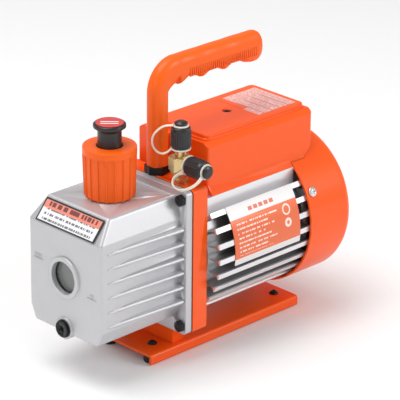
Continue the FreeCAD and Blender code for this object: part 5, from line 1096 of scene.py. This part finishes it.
@dataclass
class Tether:
    """Soft strap from a port's neck ring to its cap's ring."""

    library: ShaderLibrary
    name: str
    node: str
    lift: Body
    axis: Vector
    loop: Vector
    neck: Vector
    cap_distance: float = 17.26 * MM
    neck_ring: tuple[float, float] = (4.3 * MM, 7.4 * MM)
    cap_ring: tuple[float, float] = (3.2 * MM, 5.8 * MM)
    route: tuple[tuple[float, float], ...] = (
        (6.4, 0.0), (9.6, -3.2), (13.6, -4.3), (17.6, -2.2), (20.0, 2.4), (19.8, 8.4), (16.4, 13.4),
        (11.2, 16.6), (4.8, 17.2))
    thickness: float = 1.2 * MM
    strap_radius: float = 0.98 * MM

    def build(self) -> None:
        """Builds rings and loop as one mesh."""
        material = self.library.plain(STRAP)
        vertices: list[Vector] = []
        faces: list[Face] = []
        low = self.neck - self.axis * (1.4 * MM)
        high = low + self.axis * self.cap_distance
        for part in (self._ring(low, self.neck_ring), self._ring(high, self.cap_ring), self._strap(low)):
            offset = len(vertices)
            vertices += part[0]
            faces += [tuple(i + offset for i in face) for face in part[1]]
        made = add_mesh(self.name, vertices, faces, material, 50)
        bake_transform(made)
        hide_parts(self.node)

    def _side(self) -> Vector:
        """The third direction."""
        return self.axis.cross(self.loop).normalized()

    def _ring(self, foot: Vector, radii: tuple[float, float], count: int = 36) -> Skin:
        """A flat ring with rounded rims round the axis.

        Args:
            foot: its centre, on its lower side.
            radii: inner and outer radius.
            count: number of sections.

        Returns:
            Vertices and faces.
        """
        inner, outer = radii
        middle, half = (inner + outer) / 2, (outer - inner) / 2
        rings = []
        for k in range(count):
            angle = 2 * math.pi * k / count
            out = self.loop * math.cos(angle) + self._side() * math.sin(angle)
            section = superellipse(half, 0.0, self.thickness, 3.0, 10)
            rings.append([foot + out * (middle + across) + self.axis * up for across, up in section])
        return hoop(rings)

    def _strap(self, low: Vector) -> Skin:
        """The loop between the rings, a slightly flat strap that swells where it meets them.

        Args:
            low: the neck ring's centre.

        Returns:
            Vertices and faces.
        """
        path = self._route(64)
        rings = []
        for k, (out, up) in enumerate(path):
            before, after = path[max(0, k - 1)], path[min(len(path) - 1, k + 1)]
            tangent = (self.loop * (after[0] - before[0]) + self.axis * (after[1] - before[1])).normalized()
            centre = low + self.axis * (up + self.thickness / 2) + self.loop * out
            flat = self._side()
            across = tangent.cross(flat).normalized()
            share = k / (len(path) - 1)
            swell = 1.0 + 0.8 * max(0.0, 1 - min(share, 1 - share) / 0.14) ** 2
            rings.append([centre + flat * (math.cos(t) * self.strap_radius * 1.3 * swell)
                          + across * (math.sin(t) * self.strap_radius * 0.75)
                          for t in (2 * math.pi * j / 12 for j in range(12))])
        return loft(rings)

    def _route(self, count: int) -> list[tuple[float, float]]:
        """Points of the strap through the route's knots, as (distance from the axis, height).

        Args:
            count: number of steps.

        Returns:
            The points.
        """
        knots = [(u * MM, v * MM) for u, v in self.route]
        spans = len(knots) - 1
        points = []
        for k in range(count + 1):
            place = min(k * spans / count, spans - 1e-6)
            i = int(place)
            t = place - i
            four = [knots[max(0, min(spans, j))] for j in (i - 1, i, i + 1, i + 2)]
            points.append(tuple(
                0.5 * (2 * b + (c - a) * t + (2 * a - 5 * b + 4 * c - d) * t * t
                       + (3 * b - a - 3 * c + d) * t ** 3)
                for a, b, c, d in zip(*four)))
        return points


@dataclass
class Trim:
    """Small pieces over the CAD: casing fins, hexagon on the fitting, rim under the lid, glass seal."""

    library: ShaderLibrary
    repeat: Repeater
    fins: int = 6
    fin_pitch: float = 11.16 * MM
    fin_top: float = 105.6 * MM
    fin_start: float = 8.2 * MM
    casing_half: float = 37.9 * MM
    fin_reach: float = 4.9 * MM
    fin_half: float = 1.5 * MM
    hex_half: float = 7.7 * MM
    hex_z: tuple[float, float] = (142.6 * MM, 153.2 * MM)
    rim_out: float = 1.7 * MM
    rim_height: float = 1.5 * MM
    rim_corner: float = 0.16
    lens_rim: tuple[float, float] = (11.7 * MM, 12.1 * MM)

    def build(self) -> None:
        """Builds all of them."""
        cast = self.library.plain(CAST)
        for side, word in ((-1, "near"), (1, "far")):
            made = self.repeat.grow(f"casing_fins_{word}", self._fin(side), smooth=50, Count=self.fins,
                                    Step=(0, 0, -self.fin_pitch), Seed=5, Jitter=0.0, Material=cast)
            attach(made, Body.PUMP.value)
        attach(self._hexagon(), Body.PUMP.value)
        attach(self._lid_rim(), Body.PUMP.value)
        self._seal()

    def _fin(self, side: int) -> Skin:
        """The top ridge of one side: a rounded wedge that starts thin and grows towards the flange.

        Args:
            side: -1 for the nameplate side, 1 for the other.

        Returns:
            Vertices and faces.
        """
        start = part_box("oil_casing")[0].x + self.fin_start
        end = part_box("casing_bolts")[0].x + 3.6 * MM
        rings = []
        for k in range(13):
            share = k / 12
            x = start + (end - start) * share
            reach = 0.5 * MM + self.fin_reach * share ** 0.9
            half = self.fin_half * (0.35 + 0.65 * min(1.0, share * 4)) * (1 + 0.35 * share)
            section = []
            for j in range(9):
                angle = math.pi * j / 8
                section.append(Vector((x, side * (self.casing_half + reach * math.sin(angle) ** 0.7),
                                       self.fin_top - half * math.cos(angle))))
            root = side * (self.casing_half - 1.5 * MM)
            section += [Vector((x, root, self.fin_top + half * f)) for f in (1.3, -1.3)]
            rings.append(section if side > 0 else section[::-1])
        return loft(rings)

    def _hexagon(self) -> bpy.types.Object:
        """The spanner flats round the fitting's body.

        Returns:
            The piece.
        """
        low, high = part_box("top_flare_cap")
        centre = (low + high) / 2
        rings = []
        bottom, top = self.hex_z
        for z, size in ((bottom, 0.93), (bottom + 0.6 * MM, 1.0), (top - 0.6 * MM, 1.0), (top, 0.93)):
            corner = self.hex_half / math.cos(math.pi / 6) * size
            rings.append([Vector((centre.x + corner * math.cos(math.pi * k / 3 + 0.2),
                                  centre.y + corner * math.sin(math.pi * k / 3 + 0.2), z)) for k in range(6)])
        vertices, faces = loft(rings)
        return add_mesh("fitting_hexagon", vertices, faces, self.library.plain(BRASS), 25)

    def _lid_rim(self) -> bpy.types.Object:
        """The step round the lid's foot.

        Returns:
            The piece.
        """
        low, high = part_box("box_lid")
        middle, half = (low + high) / 2, (high - low) / 2
        rings = []
        for z, grow in ((low.z - 0.4 * MM, 1.0), (low.z + self.rim_height * 0.6, 1.0),
                        (low.z + self.rim_height, 0.55)):
            ring = []
            for k in range(48):
                angle = 2 * math.pi * k / 48
                along, across = (squarer(f(angle), self.rim_corner) for f in (math.cos, math.sin))
                ring.append(Vector((middle.x + (half.x + self.rim_out * grow) * along,
                                    (half.y + self.rim_out * grow * 0.6) * across, z)))
            rings.append(ring)
        vertices, faces = loft(rings)
        return add_mesh("lid_rim", vertices, faces, self.library.plain(ORANGE_PAINT), 30)

    def _seal(self) -> None:
        """The thin dark ring in front of the sight glass."""
        low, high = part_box("sight_glass_ring")
        inner, outer = self.lens_rim
        centre_z = (low.z + high.z) / 2
        rings = []
        for k in range(64):
            angle = 2 * math.pi * k / 64
            rings.append([Vector((x, r * math.cos(angle), centre_z + r * math.sin(angle)))
                          for x, r in ((low.x, inner), (low.x, outer), (high.x, outer), (high.x, inner))])
        made = add_mesh("glass_seal", *hoop(rings), self.library.plain(RUBBER), 40)
        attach(made, Body.PUMP.value)
        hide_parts("sight_glass_ring")


@dataclass
class Labels:
    """Printed notices: on the casing's slope, on the lid, on the nameplate and on the stopper's disc."""

    library: ShaderLibrary
    carried: CarriedNodes
    slope_half_width: float = 30.2 * MM
    slope_low: tuple[float, float] = (0.9 * MM, 114.1 * MM)
    slope_high: tuple[float, float] = (12.4 * MM, 127.9 * MM)
    paper: float = 0.15 * MM
    lid_inset: tuple[float, float] = (57.6 * MM, 4.6 * MM)
    lid_y: tuple[float, float] = (-22.5 * MM, 20.0 * MM)
    field_top: float = 103.3 * MM
    sheet: Finish = Finish("label_base", (1, 1, 1, 1), 0.0, 0.45, 0.2, 900, 0.0, 0.0002, 0.02)
    plate: Finish = Finish("plate_base", (1, 1, 1, 1), 0.15, 0.38, 0.2, 900, 0.0, 0.0002, 0.02)

    def build(self) -> None:
        """Builds all four."""
        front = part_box("sight_glass_ring")[0].x - 3.2 * MM
        self._slope(front)
        self._lid()
        low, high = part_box("nameplate")
        art = PlateArt(low, high, self.field_top)
        self.carried.copy("nameplate", self.library.printed("nameplate_print", art, self.plate))
        low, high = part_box("stopper_badge")
        art = BadgeArt((low + high) / 2)
        self.carried.copy("stopper_badge", self.library.printed("badge_print", art, self.sheet))

    def _slope(self, front: float) -> None:
        """The notice on the casing's front slope.

        Args:
            front: X of the casing's front face.
        """
        (x0, z0), (x1, z1) = self.slope_low, self.slope_high
        half = self.slope_half_width
        rise = Vector((x1 - x0, 0, z1 - z0)).normalized()
        normal = Vector((-rise.z, 0, rise.x))
        lift = normal * (0.03 * MM)
        places = ((x0, z0, -half), (x0, z0, half), (x1, z1, half), (x1, z1, -half))
        corners = [Vector((front + x, y, z)) + lift for x, z, y in places]
        material = self.library.printed("slope_print", SlopeArt(half, z0, z1), self.sheet)
        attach(add_mesh("slope_label", *slab(corners, normal, self.paper), material), Body.PUMP.value)

    def _lid(self) -> None:
        """The notice on the box's lid."""
        low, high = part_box("box_lid")
        x0, x1 = low.x + self.lid_inset[0], high.x - self.lid_inset[1]
        y0, y1 = self.lid_y
        z = high.z + 0.02 * MM
        corners = [Vector((x0, y0, z)), Vector((x1, y0, z)), Vector((x1, y1, z)), Vector((x0, y1, z))]
        material = self.library.printed("lid_print", LidArt(corners[0], corners[2]), self.sheet)
        sheet = slab(corners, Vector((0, 0, 1)), self.paper)
        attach(add_mesh("lid_label", *sheet, material), Body.PUMP.value)


@dataclass(frozen=True)
class Panel:
    """One soft square light: name, place, side length and power."""

    name: str
    place: tuple[float, float, float]
    size: float
    power: float


PANELS = (Panel("key", (-0.4, 0.3, 1.6), 1.2, 19.0), Panel("side", (0.9, -1.5, 0.9), 0.8, 13.0),
          Panel("front", (-1.6, -0.3, 0.7), 0.7, 3.0))


@dataclass
class Studio:
    """Floor, lights and camera."""

    target: Vector = Vector((0.01514, -0.0014, 0.1003))
    eye: Vector = Vector((-1.23706, -1.2688, 0.8449))
    lens: float = 237.2
    roll: float = 0.552
    sensor: float = 36.0
    clip: tuple[float, float] = (0.05, 50.0)
    sky: float = 0.50
    floor_half: float = 6.0

    def build(self) -> None:
        """Builds the studio."""
        self._floor()
        self._lights()
        self._camera()
        bpy.context.scene.view_settings.view_transform = "Standard"

    def _floor(self) -> None:
        """A pale floor."""
        material = bpy.data.materials.new("floor")
        material.use_nodes = True
        shader = material.node_tree.nodes["Principled BSDF"]
        shader.inputs["Base Color"].default_value = (0.92, 0.92, 0.92, 1)
        shader.inputs["Roughness"].default_value = 0.9
        size = self.floor_half
        corners = [Vector((x * size, y * size, 0)) for x, y in ((-1, -1), (1, -1), (1, 1), (-1, 1))]
        add_mesh("floor", corners, [(0, 1, 2, 3)], material)

    def _lights(self) -> None:
        """An even sky and three soft panels."""
        world = bpy.data.worlds.new("sky")
        bpy.context.scene.world = world
        world.use_nodes = True
        sky = world.node_tree.nodes["Background"]
        sky.inputs["Color"].default_value = (1, 1, 1, 1)
        sky.inputs["Strength"].default_value = self.sky
        for panel in PANELS:
            data = bpy.data.lights.new(panel.name, "AREA")
            data.shape, data.size, data.energy = "SQUARE", panel.size, panel.power
            made = bpy.data.objects.new(panel.name, data)
            made.location = panel.place
            made.rotation_mode = "QUATERNION"
            made.rotation_quaternion = (self.target - Vector(panel.place)).to_track_quat("-Z", "Y")
            bpy.context.scene.collection.objects.link(made)

    def _camera(self) -> None:
        """The camera, slightly above the object and off its front corner."""
        back = (self.eye - self.target).normalized()
        right = Vector((-back.y, back.x, 0)).normalized()
        up = back.cross(right)
        c, s = math.cos(math.radians(self.roll)), math.sin(math.radians(self.roll))
        turned_right, turned_up = right * c + up * s, right * -s + up * c
        data = bpy.data.cameras.new("camera")
        data.lens, data.sensor_width = self.lens, self.sensor
        data.clip_start, data.clip_end = self.clip
        made = bpy.data.objects.new("camera", data)
        turn = Matrix((turned_right, turned_up, back)).transposed()
        made.matrix_world = Matrix.Translation(self.eye) @ turn.to_4x4()
        bpy.context.scene.collection.objects.link(made)
        bpy.context.scene.camera = made


def tethers(library: ShaderLibrary) -> tuple[Tether, Tether]:
    """Both tethers, placed from the boxes of their caps.

    Args:
        library: supplies the material.

    Returns:
        The top and the side tether.
    """
    ring_drop = 1.4 * MM
    loop, drop = math.radians(135.0), math.radians(38.0)
    top, side = (sum(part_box(node), Vector()) / 2 for node in ("top_flare_cap", "side_flare_cap"))
    top_neck = Vector((top.x, top.y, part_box("top_tether")[0].z + ring_drop))
    side_neck = Vector((side.x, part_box("side_tether")[1].y - ring_drop, side.z))
    return (Tether(library, "top_strap", "top_tether", Body.TOP_LIFT, Vector((0, 0, 1)),
                   Vector((math.cos(loop), math.sin(loop), 0)), top_neck),
            Tether(library, "side_strap", "side_tether", Body.SIDE_LIFT, Vector((0, -1, 0)),
                   Vector((-math.cos(drop), 0, -math.sin(drop))), side_neck))


def main() -> None:
    """Builds the scene."""
    logging.basicConfig(level=logging.INFO)
    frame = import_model()
    library = ShaderLibrary()
    repeater = Repeater()
    carried = CarriedNodes(library, frame)
    carried.build()
    Labels(library, carried).build()
    # the housing's colour carries painted shade in the recesses between its fins
    carried.copy("motor_housing", library.printed("ribbed_housing", BarrelShadeArt(), EXTRUSION))
    for part in (Trim(library, repeater), ExhaustCap(library), Handle(library, repeater), *tethers(library),
                 Studio()):
        part.build()
        LOG.info("%s built", type(part).__name__)


if __name__ == "__main__":
    main()
